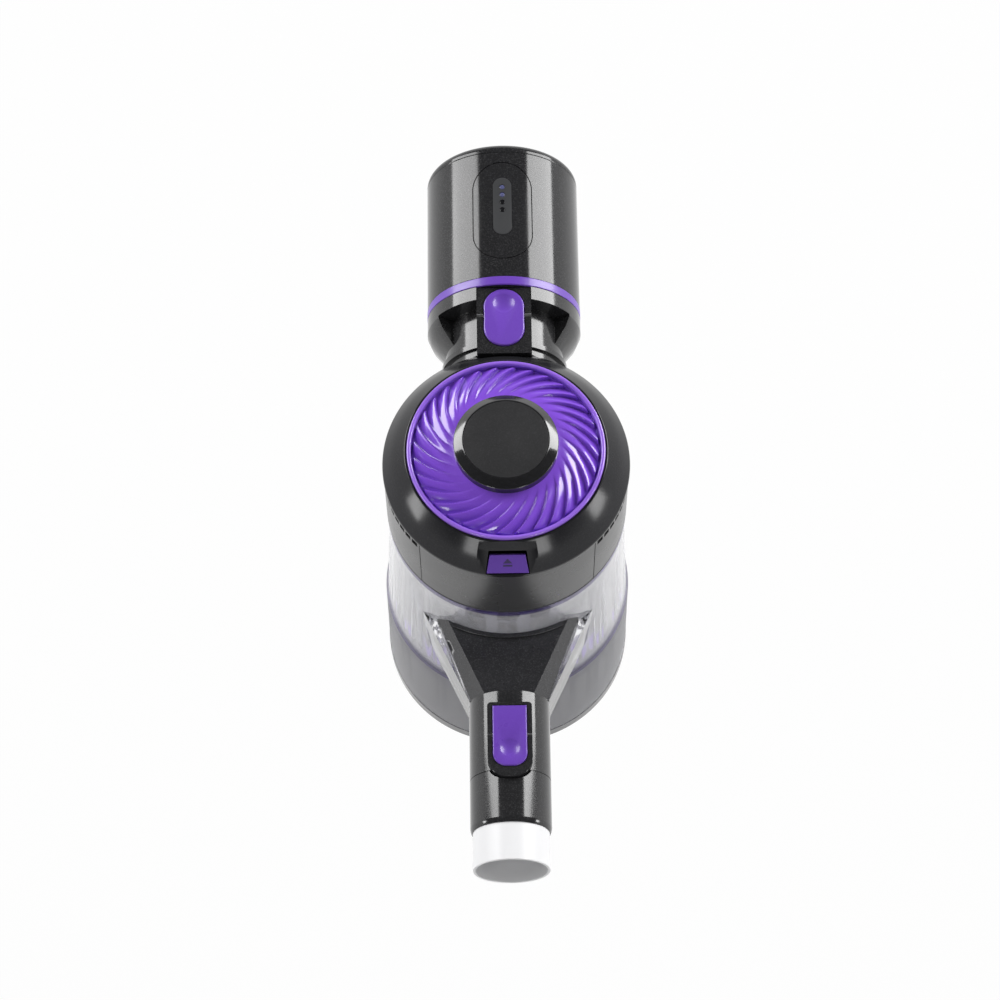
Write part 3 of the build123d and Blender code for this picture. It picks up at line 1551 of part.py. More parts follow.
# Grip: a saddle under the dock, a bridge under the battery and a leaning handle
grip_top = battery_z - battery_radius - grip_top_gap
grip_bottom = grip_top - grip_length
grip_front = bin_waist_radius + finger_gap
grip_rear = grip_front + grip_depth
saddle_front = dock_face + saddle_offset
trigger_bottom = grip_top - bridge_rear_drop - trigger_drop
dock_room = turned(
    [(neck_start, 0), *[(y, radius + seat_gap) for y, radius in dock_outline], (dock_end, 0)],
    battery_side,
    battery_axis,
)
cavity_front = grip_front + trigger_reach + trigger_depth
screw_places = [
    (grip_front + screw_inset, grip_top - screw_inset),
    (grip_rear - screw_inset, grip_top - screw_inset),
    (grip_front + grip_depth / 2 + grip_lean, grip_bottom + screw_inset),
]
head_seat = -grip_half + screw_head
with BuildPart() as grip_body:
    with BuildSketch(Plane.YZ.offset(-grip_half)):
        with BuildLine():
            Polyline(
                (saddle_front, grip_top + saddle_rise),
                (dock_end, grip_top + saddle_rise),
                (dock_end, grip_top),
                (grip_rear, grip_top),
                (grip_rear + grip_lean, grip_bottom),
                (grip_front + grip_lean, grip_bottom),
                (grip_front, grip_top - bridge_rear_drop),
                (saddle_front, grip_top - bridge_front_drop),
                close=True,
            )
        make_face()
        fillet(vertices().sort_by(Axis.Y)[:4] + vertices().sort_by(Axis.X)[-2:-1], grip_corner)
    extrude(amount=2 * grip_half)
    fillet(faces().filter_by(Axis.X).edges(), grip_round)
    add(dock_room, mode=Mode.SUBTRACT)
    with BuildSketch(Plane.YZ.offset(-trigger_half - fit)):
        with Locations((grip_front - trigger_reach, trigger_bottom - fit)):
            Rectangle(2 * trigger_reach + trigger_depth + trigger_travel, trigger_height + 2 * fit,
                      align=(Align.MIN, Align.MIN))
    extrude(amount=2 * (trigger_half + fit), mode=Mode.SUBTRACT)
    with BuildSketch(Plane.YZ.offset(-cavity_half)):
        with Locations((cavity_front, trigger_bottom + trigger_height)):
            Rectangle(cavity_depth, cavity_height, align=(Align.MIN, Align.MAX))
    extrude(amount=2 * cavity_half, mode=Mode.SUBTRACT)
    with BuildSketch(Plane.YZ.offset(-grip_half)):
        with Locations(*screw_places):
            Circle(screw_radius + run_gap)
    extrude(amount=screw_head + screw_length + fit, mode=Mode.SUBTRACT)
    with BuildSketch(Plane.YZ.offset(-grip_half)):
        with Locations(*screw_places):
            Circle(screw_head_radius + seat_gap)
    extrude(amount=screw_head, mode=Mode.SUBTRACT)

with BuildPart() as grip_left:
    add(grip_body.part)
    split(bisect_by=Plane.YZ, keep=Keep.BOTTOM)
grip_left.part.label = "grip_left"
export_step(grip_left.part, "parts/grip_left.step")

with BuildPart() as grip_right:
    add(grip_body.part)
    split(bisect_by=Plane.YZ, keep=Keep.TOP)
grip_right.part.label = "grip_right"
export_step(grip_right.part, "parts/grip_right.step")

with BuildPart() as grip_screws:
    with BuildSketch(Plane.YZ.offset(-grip_half)):
        with Locations(*screw_places):
            Circle(screw_head_radius)
    extrude(amount=screw_head)
    with BuildSketch(Plane.YZ.offset(head_seat)):
        with Locations(*screw_places):
            Circle(screw_radius)
    extrude(amount=screw_length)
grip_screws.part.label = "grip_screws"
export_step(grip_screws.part, "parts/grip_screws.step")

# Trigger, its switch and the control board
with BuildPart() as trigger:
    with BuildSketch(Plane.YZ.offset(-trigger_half)):
        with BuildLine():
            Polyline(
                (grip_front - trigger_reach, trigger_bottom + trigger_reach),
                (grip_front + trigger_depth / 2, trigger_bottom),
                (grip_front + trigger_depth, trigger_bottom),
                (grip_front + trigger_depth, trigger_bottom + trigger_height),
                (grip_front, trigger_bottom + trigger_height),
                (grip_front - trigger_reach, trigger_bottom + trigger_height - trigger_reach),
                close=True,
            )
        make_face()
    extrude(amount=2 * trigger_half)
trigger.part.label = "trigger"
export_step(trigger.part, "parts/trigger.step")

with BuildPart() as trigger_switch:
    with BuildSketch(Plane.YZ.offset(-cavity_half + seat_gap)):
        with Locations((cavity_front, trigger_bottom + trigger_height - seat_gap)):
            Rectangle(switch_depth, switch_height, align=(Align.MIN, Align.MAX))
    extrude(amount=2 * (cavity_half - seat_gap))
trigger_switch.part.label = "trigger_switch"
export_step(trigger_switch.part, "parts/trigger_switch.step")

with BuildPart() as control_board:
    with BuildSketch(Plane.YZ.offset(-cavity_half + seat_gap)):
        with Locations((cavity_front + cavity_depth, trigger_bottom + trigger_height - cavity_height)):
            Rectangle(board_thick, board_height, align=(Align.MAX, Align.MIN))
    extrude(amount=2 * (cavity_half - seat_gap))
control_board.part.label = "control_board"
export_step(control_board.part, "parts/control_board.step")
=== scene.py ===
"""Looks of a cordless stick vacuum's hand unit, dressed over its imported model."""

from __future__ import annotations

import json
import logging
import math
from dataclasses import dataclass
from enum import Enum
from typing import Any, Sequence

import bmesh
import bpy
from mathutils import Matrix, Vector

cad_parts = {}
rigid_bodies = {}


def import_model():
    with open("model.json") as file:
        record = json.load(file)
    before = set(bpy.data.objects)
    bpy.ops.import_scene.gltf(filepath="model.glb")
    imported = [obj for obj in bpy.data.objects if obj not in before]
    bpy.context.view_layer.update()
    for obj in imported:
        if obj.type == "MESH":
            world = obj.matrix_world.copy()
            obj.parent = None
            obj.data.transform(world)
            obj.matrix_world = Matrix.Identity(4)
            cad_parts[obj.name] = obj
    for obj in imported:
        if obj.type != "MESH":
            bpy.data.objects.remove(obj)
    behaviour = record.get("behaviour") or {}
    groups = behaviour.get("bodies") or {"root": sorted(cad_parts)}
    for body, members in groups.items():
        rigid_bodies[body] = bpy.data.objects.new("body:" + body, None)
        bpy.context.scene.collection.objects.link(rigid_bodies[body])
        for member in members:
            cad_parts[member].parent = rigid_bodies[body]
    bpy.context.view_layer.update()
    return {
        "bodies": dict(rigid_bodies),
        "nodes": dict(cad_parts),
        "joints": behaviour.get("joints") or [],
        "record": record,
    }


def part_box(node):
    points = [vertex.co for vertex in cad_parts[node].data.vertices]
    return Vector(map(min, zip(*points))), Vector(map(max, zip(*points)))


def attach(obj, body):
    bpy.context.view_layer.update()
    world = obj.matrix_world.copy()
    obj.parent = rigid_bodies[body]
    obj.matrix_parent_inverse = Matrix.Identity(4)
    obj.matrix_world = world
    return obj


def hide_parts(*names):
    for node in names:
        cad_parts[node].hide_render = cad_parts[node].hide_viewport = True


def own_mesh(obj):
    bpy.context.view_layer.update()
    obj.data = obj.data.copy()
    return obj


log = logging.getLogger("stick_vacuum")

MM = 0.001
Colour = tuple[float, float, float]
Point = tuple[float, float]
Spot = tuple[float, float, float]


class TurnAxis(Enum):
    """Line that a turned piece goes round."""

    UP = "up through the motor"
    ALONG = "along the battery and wand"


class Surface(Enum):
    """Kind of surface that a finish has."""

    SOLID = "solid"
    CLEAR = "clear"
    BIN = "clear, frosted at the foot"
    LIGHTS = "row of lights, the nearer ones off"


Line = tuple[TurnAxis, Point]
MOTOR_LINE: Line = (TurnAxis.UP, (0.0, 0.0))
BATTERY_LINE: Line = (TurnAxis.ALONG, (0.0, 173.0))
WAND_LINE: Line = (TurnAxis.ALONG, (0.0, 115.0))
BUTTON_PLACE: Point = (-51.6, 200.2)
SHARP_ANGLE = 30.0
TURNED_ANGLE = 40.0
CARVED_ANGLE = 25.0
BLOCK_ANGLE = 20.0
FLAT_ANGLE = 0.4
WELD_DISTANCE = 2e-6
SEAM_DISTANCE = 1e-7
CORNER_REACH = 0.49


@dataclass(frozen=True)
class Finish:
    """One finish: its colours, gloss and the fine pattern on it."""

    name: str
    colour: Colour
    second: Colour
    roughness: float
    spread: float = 0.05
    metallic: float = 0.0
    specular: float = 0.5
    ior: float = 1.5
    coat: float = 0.0
    coat_roughness: float = 0.05
    grain_scale: float = 2500.0
    grain_depth: float = 0.02
    fleck_scale: float = 2600.0
    fleck: float = 0.15
    surface: Surface = Surface.SOLID


BLACK = Finish("gloss_gunmetal", (0.016, 0.016, 0.017), (0.10, 0.10, 0.105), 0.13, 0.03, coat=0.15, fleck=0.25)
BAND = Finish("band_gunmetal", (0.050, 0.050, 0.051), (0.10, 0.10, 0.105), 0.28, 0.04, specular=0.42)
CAP = Finish("cap_black", (0.012, 0.012, 0.014), (0.06, 0.06, 0.065), 0.17, 0.03, specular=0.26)
HUB = Finish("hub_gloss", (0.012, 0.012, 0.013), (0.06, 0.06, 0.065), 0.13, 0.03, coat=0.4)
HUB_TOP = Finish("hub_matte", (0.014, 0.014, 0.015), (0.05, 0.05, 0.055), 0.46, 0.05, grain_depth=0.12, fleck=0.3)
PURPLE = Finish("violet_plastic", (0.125, 0.047, 0.385), (0.20, 0.10, 0.50), 0.31, 0.05, coat=0.15)
COVER = Finish("violet_gloss", (0.185, 0.066, 0.560), (0.28, 0.13, 0.68), 0.17, 0.04, coat=0.5)
# The lip's violet is lighter than the cover's: the same violet plastic with a painted highlight.
LIP_WITH_PAINTED_HIGHLIGHT = Finish("violet_lip_painted_highlight", (0.26, 0.12, 0.64), (0.36, 0.20, 0.74), 0.20, 0.04, coat=0.5)
SIGN = Finish("sign_dark", (0.030, 0.014, 0.085), (0.05, 0.03, 0.12), 0.40, 0.05)
CLEAR = Finish("clear_plastic", (0.95, 0.95, 0.97), (0.90, 0.89, 0.95), 0.05, 0.02, ior=1.49, grain_depth=0.0,
               surface=Surface.CLEAR)
BIN_CLEAR = Finish("bin_clear", (0.93, 0.93, 0.95), (0.88, 0.87, 0.93), 0.10, 0.03, ior=1.49, grain_depth=0.0,
                   surface=Surface.BIN)
LID = Finish("smoky_grey", (0.085, 0.085, 0.090), (0.14, 0.14, 0.145), 0.24, 0.05, coat=0.3)
DARK = Finish("dark_plastic", (0.020, 0.020, 0.023), (0.06, 0.06, 0.065), 0.42, 0.06, grain_depth=0.06)
DUCT = Finish("duct_satin", (0.020, 0.020, 0.022), (0.09, 0.09, 0.095), 0.26, 0.04, grain_scale=3200.0,
              grain_depth=0.08, coat=0.15, fleck=0.35)
GRIP = Finish("grip_plastic", (0.020, 0.020, 0.022), (0.05, 0.05, 0.055), 0.50, 0.06, grain_scale=1800.0,
              grain_depth=0.16)
BATTERY = Finish("anthracite_gloss", (0.013, 0.013, 0.014), (0.10, 0.10, 0.105), 0.12, 0.03, specular=0.44, fleck=0.3)
PANEL = Finish("panel_gloss", (0.014, 0.014, 0.015), (0.09, 0.09, 0.095), 0.11, 0.03, specular=0.44, fleck=0.25)
WINDOW = Finish("window_grey", (0.040, 0.041, 0.043), (0.06, 0.06, 0.065), 0.34, 0.05)
LIGHTS = Finish("indicator_lights", (0.075, 0.080, 0.17), (0.12, 0.13, 0.26), 0.20, 0.03, surface=Surface.LIGHTS)
IMPELLER = Finish("impeller_plastic", (0.10, 0.10, 0.11), (0.15, 0.15, 0.16), 0.35)
RUBBER = Finish("seal_rubber", (0.018, 0.018, 0.018), (0.035, 0.035, 0.035), 0.72, 0.06, grain_depth=0.12)
FELT = Finish("filter_felt", (0.62, 0.60, 0.56), (0.78, 0.77, 0.74), 0.95, 0.03, grain_scale=1400.0, grain_depth=0.5,
              fleck_scale=900.0, fleck=0.6)
STEEL = Finish("spring_steel", (0.55, 0.55, 0.56), (0.68, 0.68, 0.69), 0.26, 0.06, metallic=1.0)
FILTER_METAL = Finish("filter_metal", (0.42, 0.42, 0.43), (0.55, 0.55, 0.56), 0.34, 0.06, metallic=1.0)
MOTOR_METAL = Finish("motor_metal", (0.40, 0.40, 0.42), (0.52, 0.52, 0.53), 0.38, 0.08, metallic=1.0)
MOTOR_IRON = Finish("motor_iron", (0.16, 0.15, 0.15), (0.24, 0.23, 0.22), 0.48, 0.08, metallic=0.9)
BRASS = Finish("terminal_brass", (0.70, 0.50, 0.20), (0.80, 0.62, 0.30), 0.28, 0.06, metallic=1.0)
BOARD = Finish("circuit_board", (0.012, 0.085, 0.035), (0.03, 0.14, 0.06), 0.42, 0.06, fleck_scale=700.0, fleck=0.4)
CELL = Finish("cell_sleeve", (0.02, 0.14, 0.30), (0.04, 0.20, 0.38), 0.30, 0.05)
WHITE = Finish("white_satin", (0.78, 0.78, 0.79), (0.84, 0.84, 0.85), 0.34, 0.04, grain_depth=0.03)
SCREEN = Finish("screen_wire", (0.30, 0.30, 0.31), (0.45, 0.45, 0.46), 0.30, 0.06, metallic=1.0)

SLOT_FINISH: dict[str, Finish] = {
    "black_plastic": BLACK, "cap_plastic": CAP, "hub_plastic": HUB, "purple_plastic": PURPLE,
    "clear_plastic": CLEAR, "dark_plastic": DARK, "duct_plastic": DUCT, "grip_plastic": GRIP,
    "battery_plastic": BATTERY, "panel_plastic": PANEL, "window_plastic": WINDOW, "light_plastic": LIGHTS,
    "impeller_plastic": IMPELLER, "seal_rubber": RUBBER, "felt": FELT, "steel": STEEL, "filter_metal": FILTER_METAL,
    "motor_metal": MOTOR_METAL, "motor_iron": MOTOR_IRON, "terminal_brass": BRASS, "board": BOARD, "cell": CELL,
    "white_tube": WHITE,
}


def feed(tree: bpy.types.NodeTree, target: Any, source: Any) -> None:
    """Link a socket to an input, or set the input to a plain value.

    Args:
        tree: Tree that the input is in.
        target: The input.
        source: A socket or a plain value.
    """
    if isinstance(source, bpy.types.NodeSocket):
        tree.links.new(source, target)
    else:
        target.default_value = source


def add_node(tree: bpy.types.NodeTree, kind: str, inputs: dict[Any, Any] | None = None, **settings: Any) -> Any:
    """Add a node, set its properties and feed its inputs.

    Args:
        tree: Tree that it goes in.
        kind: Node type.
        inputs: A socket, a plain value or a list of sockets for each input, by its name or place.
        settings: Properties by name.

    Returns:
        The node.
    """
    node = tree.nodes.new(kind)
    for label, value in settings.items():
        setattr(node, label, value)
    for label, source in (inputs or {}).items():
        for item in source if isinstance(source, list) else [source]:
            feed(tree, node.inputs[label], item)
    return node


def smooth_range(tree: bpy.types.NodeTree, value: Any, low: Any, high: Any, start: Any = 0.0, end: Any = 1.0) -> Any:
    """Map a value smoothly, from start at low to end at high, and give the result's socket."""
    ranges = {"Value": value, "From Min": low, "From Max": high, "To Min": start, "To Max": end}
    return add_node(tree, "ShaderNodeMapRange", ranges, interpolation_type="SMOOTHSTEP").outputs["Result"]


def mixed(tree: bpy.types.NodeTree, share: Any, below: Any, above: Any, colours: bool = True) -> Any:
    """Mix two colours or two numbers, each a socket or a plain value.

    Args:
        tree: Tree that the node goes in.
        share: Socket with the share of the second.
        below: First colour or number.
        above: Second colour or number.
        colours: Whether they are colours.

    Returns:
        The result's socket.
    """
    kind, first, second, result = ("RGBA", 6, 7, 2) if colours else ("FLOAT", 2, 3, 0)
    inputs = {0: share, first: below, second: above}
    return add_node(tree, "ShaderNodeMix", inputs, data_type=kind).outputs[result]


class ShaderGroups:
    """Shader node groups that the finishes share."""

    grain_detail = 3.0
    mark_scale = 45.0
    mark_detail = 5.0
    mark_range = (0.3, 0.7)
    fleck_power = 4.0

    def __init__(self) -> None:
        """Build each group once."""
        self.grain = self._grain()
        self.marks = self._marks()
        self.fleck = self._fleck()

    @staticmethod
    def _start(name: str, inputs: dict[str, float], output: str) -> tuple[Any, Any, Any, Any]:
        """Open a group with number inputs and one number output.

        Args:
            name: Name of the group.
            inputs: Named inputs with their first values.
            output: Name of the output.

        Returns:
            The tree, its inputs, the socket for its result and its Object coordinates socket.
        """
        tree = bpy.data.node_groups.new(name, "ShaderNodeTree")
        for label, value in inputs.items():
            tree.interface.new_socket(label, in_out="INPUT", socket_type="NodeSocketFloat").default_value = value
        tree.interface.new_socket(output, in_out="OUTPUT", socket_type="NodeSocketFloat")
        entry, leave = tree.nodes.new("NodeGroupInput"), tree.nodes.new("NodeGroupOutput")
        return tree, entry.outputs, leave.inputs[output], add_node(tree, "ShaderNodeTexCoord").outputs["Object"]

    def _grain(self) -> bpy.types.NodeTree:
        """Make the fine moulded grain, a height.

        Returns:
            The group.
        """
        tree, sizes, result, place = self._start("moulded_grain", {"Scale": 2500.0}, "Height")
        inputs = {"Vector": place, "Scale": sizes["Scale"], "Detail": self.grain_detail}
        noise = add_node(tree, "ShaderNodeTexNoise", inputs)
        feed(tree, result, noise.outputs["Fac"])
        return tree

    def _marks(self) -> bpy.types.NodeTree:
        """Make the broad handling marks, a roughness between two values.

        Returns:
            The group.
        """
        tree, sizes, result, place = self._start("handling_marks", {"Low": 0.2, "High": 0.3}, "Roughness")
        inputs = {"Vector": place, "Scale": self.mark_scale, "Detail": self.mark_detail}
        noise = add_node(tree, "ShaderNodeTexNoise", inputs)
        spread = add_node(tree, "ShaderNodeMapRange", {
            "Value": noise.outputs["Fac"], "From Min": self.mark_range[0], "From Max": self.mark_range[1],
            "To Min": sizes["Low"], "To Max": sizes["High"],
        })
        feed(tree, result, spread.outputs["Result"])
        return tree

    def _fleck(self) -> bpy.types.NodeTree:
        """Make the fine flecks in the plastic, a mask.

        Returns:
            The group.
        """
        tree, sizes, result, place = self._start("fine_fleck", {"Scale": 2600.0, "Amount": 0.2}, "Mask")
        cells = add_node(tree, "ShaderNodeTexVoronoi", {"Vector": place, "Scale": sizes["Scale"]})
        split = add_node(tree, "ShaderNodeSeparateColor", {"Color": cells.outputs["Color"]})
        power = add_node(tree, "ShaderNodeMath", {0: split.outputs["Red"], 1: self.fleck_power}, operation="POWER")
        amount = add_node(tree, "ShaderNodeMath", {0: power.outputs[0], 1: sizes["Amount"]}, operation="MULTIPLY")
        feed(tree, result, amount.outputs[0])
        return tree


class Paints:
    """Makes each finish's material once and keeps it."""

    lowest_roughness = 0.02
    bump_distance = 0.1 * MM
    lights_on = (130.3, 132.3)
    light_off = (0.006, 0.006, 0.007, 1.0)
    rim_band = (150.4, 151.2)
    step_band = (67.5, 69.5)
    foot_band = (64.5, 66.5)
    # Dark blue-violet: a tint on the rim band, and painted shade on the step band.
    indigo_rim_and_step_shade = (0.10, 0.075, 0.26, 1.0)
    frost = (0.34, 0.34, 0.355, 1.0)
    frost_roughness = 0.42
    shadow_tint = (0.86, 0.86, 0.90, 1.0)
    transmission = {Surface.CLEAR: 1.0, Surface.BIN: 0.86}

    def __init__(self) -> None:
        """Start with the shared groups and no material."""
        self.groups = ShaderGroups()
        self.made: dict[str, bpy.types.Material] = {}

    def get(self, finish: Finish) -> bpy.types.Material:
        """Give a finish's material, making it on the first call.

        Args:
            finish: The finish that is wanted.

        Returns:
            Its material.
        """
        if finish.name not in self.made:
            self.made[finish.name] = self._make(finish)
        return self.made[finish.name]

    def _make(self, finish: Finish) -> bpy.types.Material:
        """Make a finish's material.

        Args:
            finish: The finish.

        Returns:
            Its material.
        """
        material = bpy.data.materials.new(finish.name)
        material.use_nodes = True
        tree = material.node_tree
        shader = tree.nodes["Principled BSDF"]
        marks = add_node(tree, "ShaderNodeGroup", {
            "Low": max(self.lowest_roughness, finish.roughness - finish.spread),
            "High": finish.roughness + finish.spread,
        }, node_tree=self.groups.marks)
        fleck = add_node(tree, "ShaderNodeGroup", {"Scale": finish.fleck_scale, "Amount": finish.fleck},
                         node_tree=self.groups.fleck)
        colour = mixed(tree, fleck.outputs["Mask"], (*finish.colour, 1.0), (*finish.second, 1.0))
        roughness = marks.outputs["Roughness"]
        if finish.surface is Surface.BIN:
            colour, roughness = self._frost_foot_and_paint_step_shade(tree, colour, roughness)
        elif finish.surface is Surface.LIGHTS:
            colour = mixed(tree, self._step(tree, "Y", self.lights_on), self.light_off, colour)
        inputs = {
            "Base Color": colour, "Roughness": roughness, "Metallic": finish.metallic, "IOR": finish.ior,
            "Specular IOR Level": finish.specular, "Coat Weight": finish.coat,
            "Coat Roughness": finish.coat_roughness,
        }
        if finish.grain_depth > 0.0:
            grain = add_node(tree, "ShaderNodeGroup", {"Scale": finish.grain_scale}, node_tree=self.groups.grain)
            inputs["Normal"] = add_node(tree, "ShaderNodeBump", {
                "Strength": finish.grain_depth, "Distance": self.bump_distance, "Height": grain.outputs["Height"],
            }).outputs["Normal"]
        if finish.surface in self.transmission:
            inputs["Transmission Weight"] = self.transmission[finish.surface]
            self._let_light_through(tree, shader)
        for label, source in inputs.items():
            feed(tree, shader.inputs[label], source)
        return material

    @staticmethod
    def _step(tree: bpy.types.NodeTree, axis: str, band: Point) -> Any:
        """Make a mask that goes from 0 to 1 along an axis.

        Args:
            tree: The material's tree.
            axis: X, Y or Z.
            band: Where it leaves 0 and where it reaches 1, in mm.

        Returns:
            The mask's socket.
        """
        place = add_node(tree, "ShaderNodeTexCoord").outputs["Object"]
        split = add_node(tree, "ShaderNodeSeparateXYZ", {0: place})
        return smooth_range(tree, split.outputs[axis], band[0] * MM, band[1] * MM)

    def _frost_foot_and_paint_step_shade(self, tree: bpy.types.NodeTree, colour: Any, roughness: Any) -> tuple[Any, Any]:
        """Frost the bin below its step, paint shade at the step in dark blue-violet, and tint the rim the same colour.

        Args:
            tree: The material's tree.
            colour: Socket with the clear colour.
            roughness: Socket with the clear roughness.

        Returns:
            Sockets with the new colour and roughness.
        """
        rim = mixed(tree, self._step(tree, "Z", self.rim_band), colour, self.indigo_rim_and_step_shade)
        # Below the step the wall takes the dark blue-violet, painted shade of the step.
        wall = mixed(tree, self._step(tree, "Z", self.step_band), self.indigo_rim_and_step_shade, rim)
        foot = self._step(tree, "Z", self.foot_band)
        return mixed(tree, foot, self.frost, wall), mixed(tree, foot, self.frost_roughness, roughness, colours=False)

    def _let_light_through(self, tree: bpy.types.NodeTree, shader: bpy.types.Node) -> None:
        """Let lamps reach what is behind a clear material.

        Args:
            tree: The material's tree.
            shader: Its main shader.
        """
        shadow = add_node(tree, "ShaderNodeLightPath").outputs["Is Shadow Ray"]
        through = add_node(tree, "ShaderNodeBsdfTransparent", {"Color": self.shadow_tint}).outputs["BSDF"]
        blend = add_node(tree, "ShaderNodeMixShader", {0: shadow, 1: shader.outputs["BSDF"], 2: through})
        feed(tree, tree.nodes["Material Output"].inputs["Surface"], blend.outputs["Shader"])


def applied(obj: bpy.types.Object) -> bpy.types.Mesh:
    """Give an object the mesh that its modifiers make, and drop them.

    Args:
        obj: The object.

    Returns:
        Its new mesh.
    """
    bpy.context.view_layer.update()
    depsgraph = bpy.context.evaluated_depsgraph_get()
    mesh = bpy.data.meshes.new_from_object(obj.evaluated_get(depsgraph), depsgraph=depsgraph)
    obj.modifiers.clear()
    obj.data = mesh
    mesh.name = obj.name
    return mesh


class GeometryTree:
    """A Geometry Nodes tree with named inputs, made into a plain mesh."""

    def __init__(self, name: str) -> None:
        """Open an empty tree with a geometry output.

        Args:
            name: Name of the tree.
        """
        self.tree = bpy.data.node_groups.new(name, "GeometryNodeTree")
        self.tree.interface.new_socket("Geometry", in_out="OUTPUT", socket_type="NodeSocketGeometry")
        self.entry = self.tree.nodes.new("NodeGroupInput")
        self.leave = self.tree.nodes.new("NodeGroupOutput")
        self.values: dict[str, Any] = {}

    def size(self, label: str, value: Any) -> Any:
        """Add a named input with its value, a whole number, a number or a vector.

        Args:
            label: Name of the input.
            value: Value that the modifier gives it.

        Returns:
            The output socket that carries it inside the tree.
        """
        kind = {int: "NodeSocketInt", tuple: "NodeSocketVector"}.get(type(value), "NodeSocketFloat")
        socket = self.tree.interface.new_socket(label, in_out="INPUT", socket_type=kind)
        self.values[socket.identifier] = value
        return self.entry.outputs[label]

    def node(self, kind: str, inputs: dict[Any, Any] | None = None, **settings: Any) -> Any:
        """Add a node to the tree, as add_node does."""
        return add_node(self.tree, kind, inputs, **settings)

    def sum(self, operation: str, *terms: Any) -> Any:
        """Add a Math node for the terms, which are sockets or numbers, and give its output socket."""
        return self.node("ShaderNodeMath", dict(enumerate(terms)), operation=operation).outputs[0]

    def ease(self, value: Any, low: float, high: float, start: Any, end: Any) -> Any:
        """Map a value smoothly, as smooth_range does."""
        return smooth_range(self.tree, value, low, high, start, end)

    def moved(self, geometry: Any, **changes: Any) -> Any:
        """Shift a geometry by Translation or resize it by Scale, and give the result's socket."""
        return self.node("GeometryNodeTransform", {"Geometry": geometry, **changes}).outputs["Geometry"]

    def set_on(self, points: Any, instance: Any, **changes: Any) -> Any:
        """Set a copy of a geometry on each point, turned where Rotation is given, and give the copies' socket."""
        inputs = {"Points": points, "Instance": instance, **changes}
        return self.node("GeometryNodeInstanceOnPoints", inputs).outputs["Instances"]

    def finish(self, name: str, geometry: Any, material: bpy.types.Material) -> bpy.types.Object:
        """Close the tree and turn its result into a plain mesh object.

        Args:
            name: Name of the object.
            geometry: Socket with the result.
            material: Material for all its faces.

        Returns:
            The object, with no modifier left.
        """
        realise = self.node("GeometryNodeRealizeInstances", {0: geometry})
        paint = self.node("GeometryNodeSetMaterial", {"Geometry": realise.outputs[0], "Material": material})
        feed(self.tree, self.leave.inputs[0], paint.outputs[0])
        obj = bpy.data.objects.new(name, bpy.data.meshes.new(name))
        bpy.context.scene.collection.objects.link(obj)
        modifier = obj.modifiers.new("tree", "NODES")
        modifier.node_group = self.tree
        for identifier, value in self.values.items():
            modifier[identifier] = value
        applied(obj)
        return obj


def eased(corners: Sequence[Spot], steps: int = 5) -> list[Point]:
    """Round the corners of a closed outline.

    Args:
        corners: Radius, height and rounding of each corner, in mm.
        steps: Steps in each rounding.

    Returns:
        The outline's points, in mm.
    """
    outline: list[Point] = []
    count = len(corners)
    for index, (x, y, rounding) in enumerate(corners):
        here = Vector((x, y))
        if rounding <= 0.0:
            outline.append((x, y))
            continue
        before = Vector(corners[index - 1][:2]) - here
        after = Vector(corners[(index + 1) % count][:2]) - here
        first, last = (here + side.normalized() * min(rounding, side.length * CORNER_REACH) for side in (before, after))
        for step in range(steps + 1):
            share = step / steps
            point = first * (1 - share) ** 2 + here * 2 * share * (1 - share) + last * share ** 2
            outline.append((point.x, point.y))
    return outline


def joined(shape: bmesh.types.BMesh, here: Sequence[Any], there: Sequence[Any]) -> None:
    """Fill the band between two rings of corners.

    Args:
        shape: Mesh in progress.
        here: Corners of the first ring.
        there: Corners of the second ring.
    """
    for index in range(len(here)):
        after = (index + 1) % len(here)
        shape.faces.new((here[index], there[index], there[after], here[after]))


def turned(name: str, outline: Sequence[Point], line: Line, count: int = 192) -> bpy.types.Object:
    """Turn a closed outline round a line.

    Args:
        name: Name of the object.
        outline: Radius and place along the line of each point, in mm.
        line: Axis and centre of the line.
        count: Steps round the line.

    Returns:
        The object.
    """
    axis, centre = line
    shape = bmesh.new()
    rings = []
    for step in range(count):
        angle = 2 * math.pi * step / count
        ring = []
        for radius, along in outline:
            across, other = radius * math.cos(angle) + centre[0], radius * math.sin(angle) + centre[1]
            spot = (across, other, along) if axis is TurnAxis.UP else (across, along, other)
            ring.append(shape.verts.new(Vector(spot) * MM))
        rings.append(ring)
    for step in range(count):
        joined(shape, rings[step], rings[(step + 1) % count])
    bmesh.ops.remove_doubles(shape, verts=shape.verts, dist=SEAM_DISTANCE)
    bmesh.ops.recalc_face_normals(shape, faces=shape.faces)
    return mesh_object(name, shape, TURNED_ANGLE)


def mesh_object(name: str, shape: bmesh.types.BMesh, angle: float) -> bpy.types.Object:
    """Make a smooth-shaded object from a mesh in progress.

    Args:
        name: Name of the object.
        shape: The mesh in progress, which is freed.
        angle: Edges sharper than this stay sharp, in degrees.

    Returns:
        The object.
    """
    mesh = bpy.data.meshes.new(name)
    shape.to_mesh(mesh)
    shape.free()
    mesh.shade_smooth()
    mesh.set_sharp_from_angle(angle=math.radians(angle))
    obj = bpy.data.objects.new(name, mesh)
    bpy.context.scene.collection.objects.link(obj)
    return obj


def block(name: str, corners: Sequence[Spot]) -> bpy.types.Object:
    """Make a solid with flat sides round a few corners.

    Args:
        name: Name of the object.
        corners: The corners, in mm.

    Returns:
        The object.
    """
    shape = bmesh.new()
    made = [shape.verts.new(Vector(corner) * MM) for corner in corners]
    bmesh.ops.convex_hull(shape, input=made)
    bmesh.ops.recalc_face_normals(shape, faces=shape.faces)
    return mesh_object(name, shape, BLOCK_ANGLE)


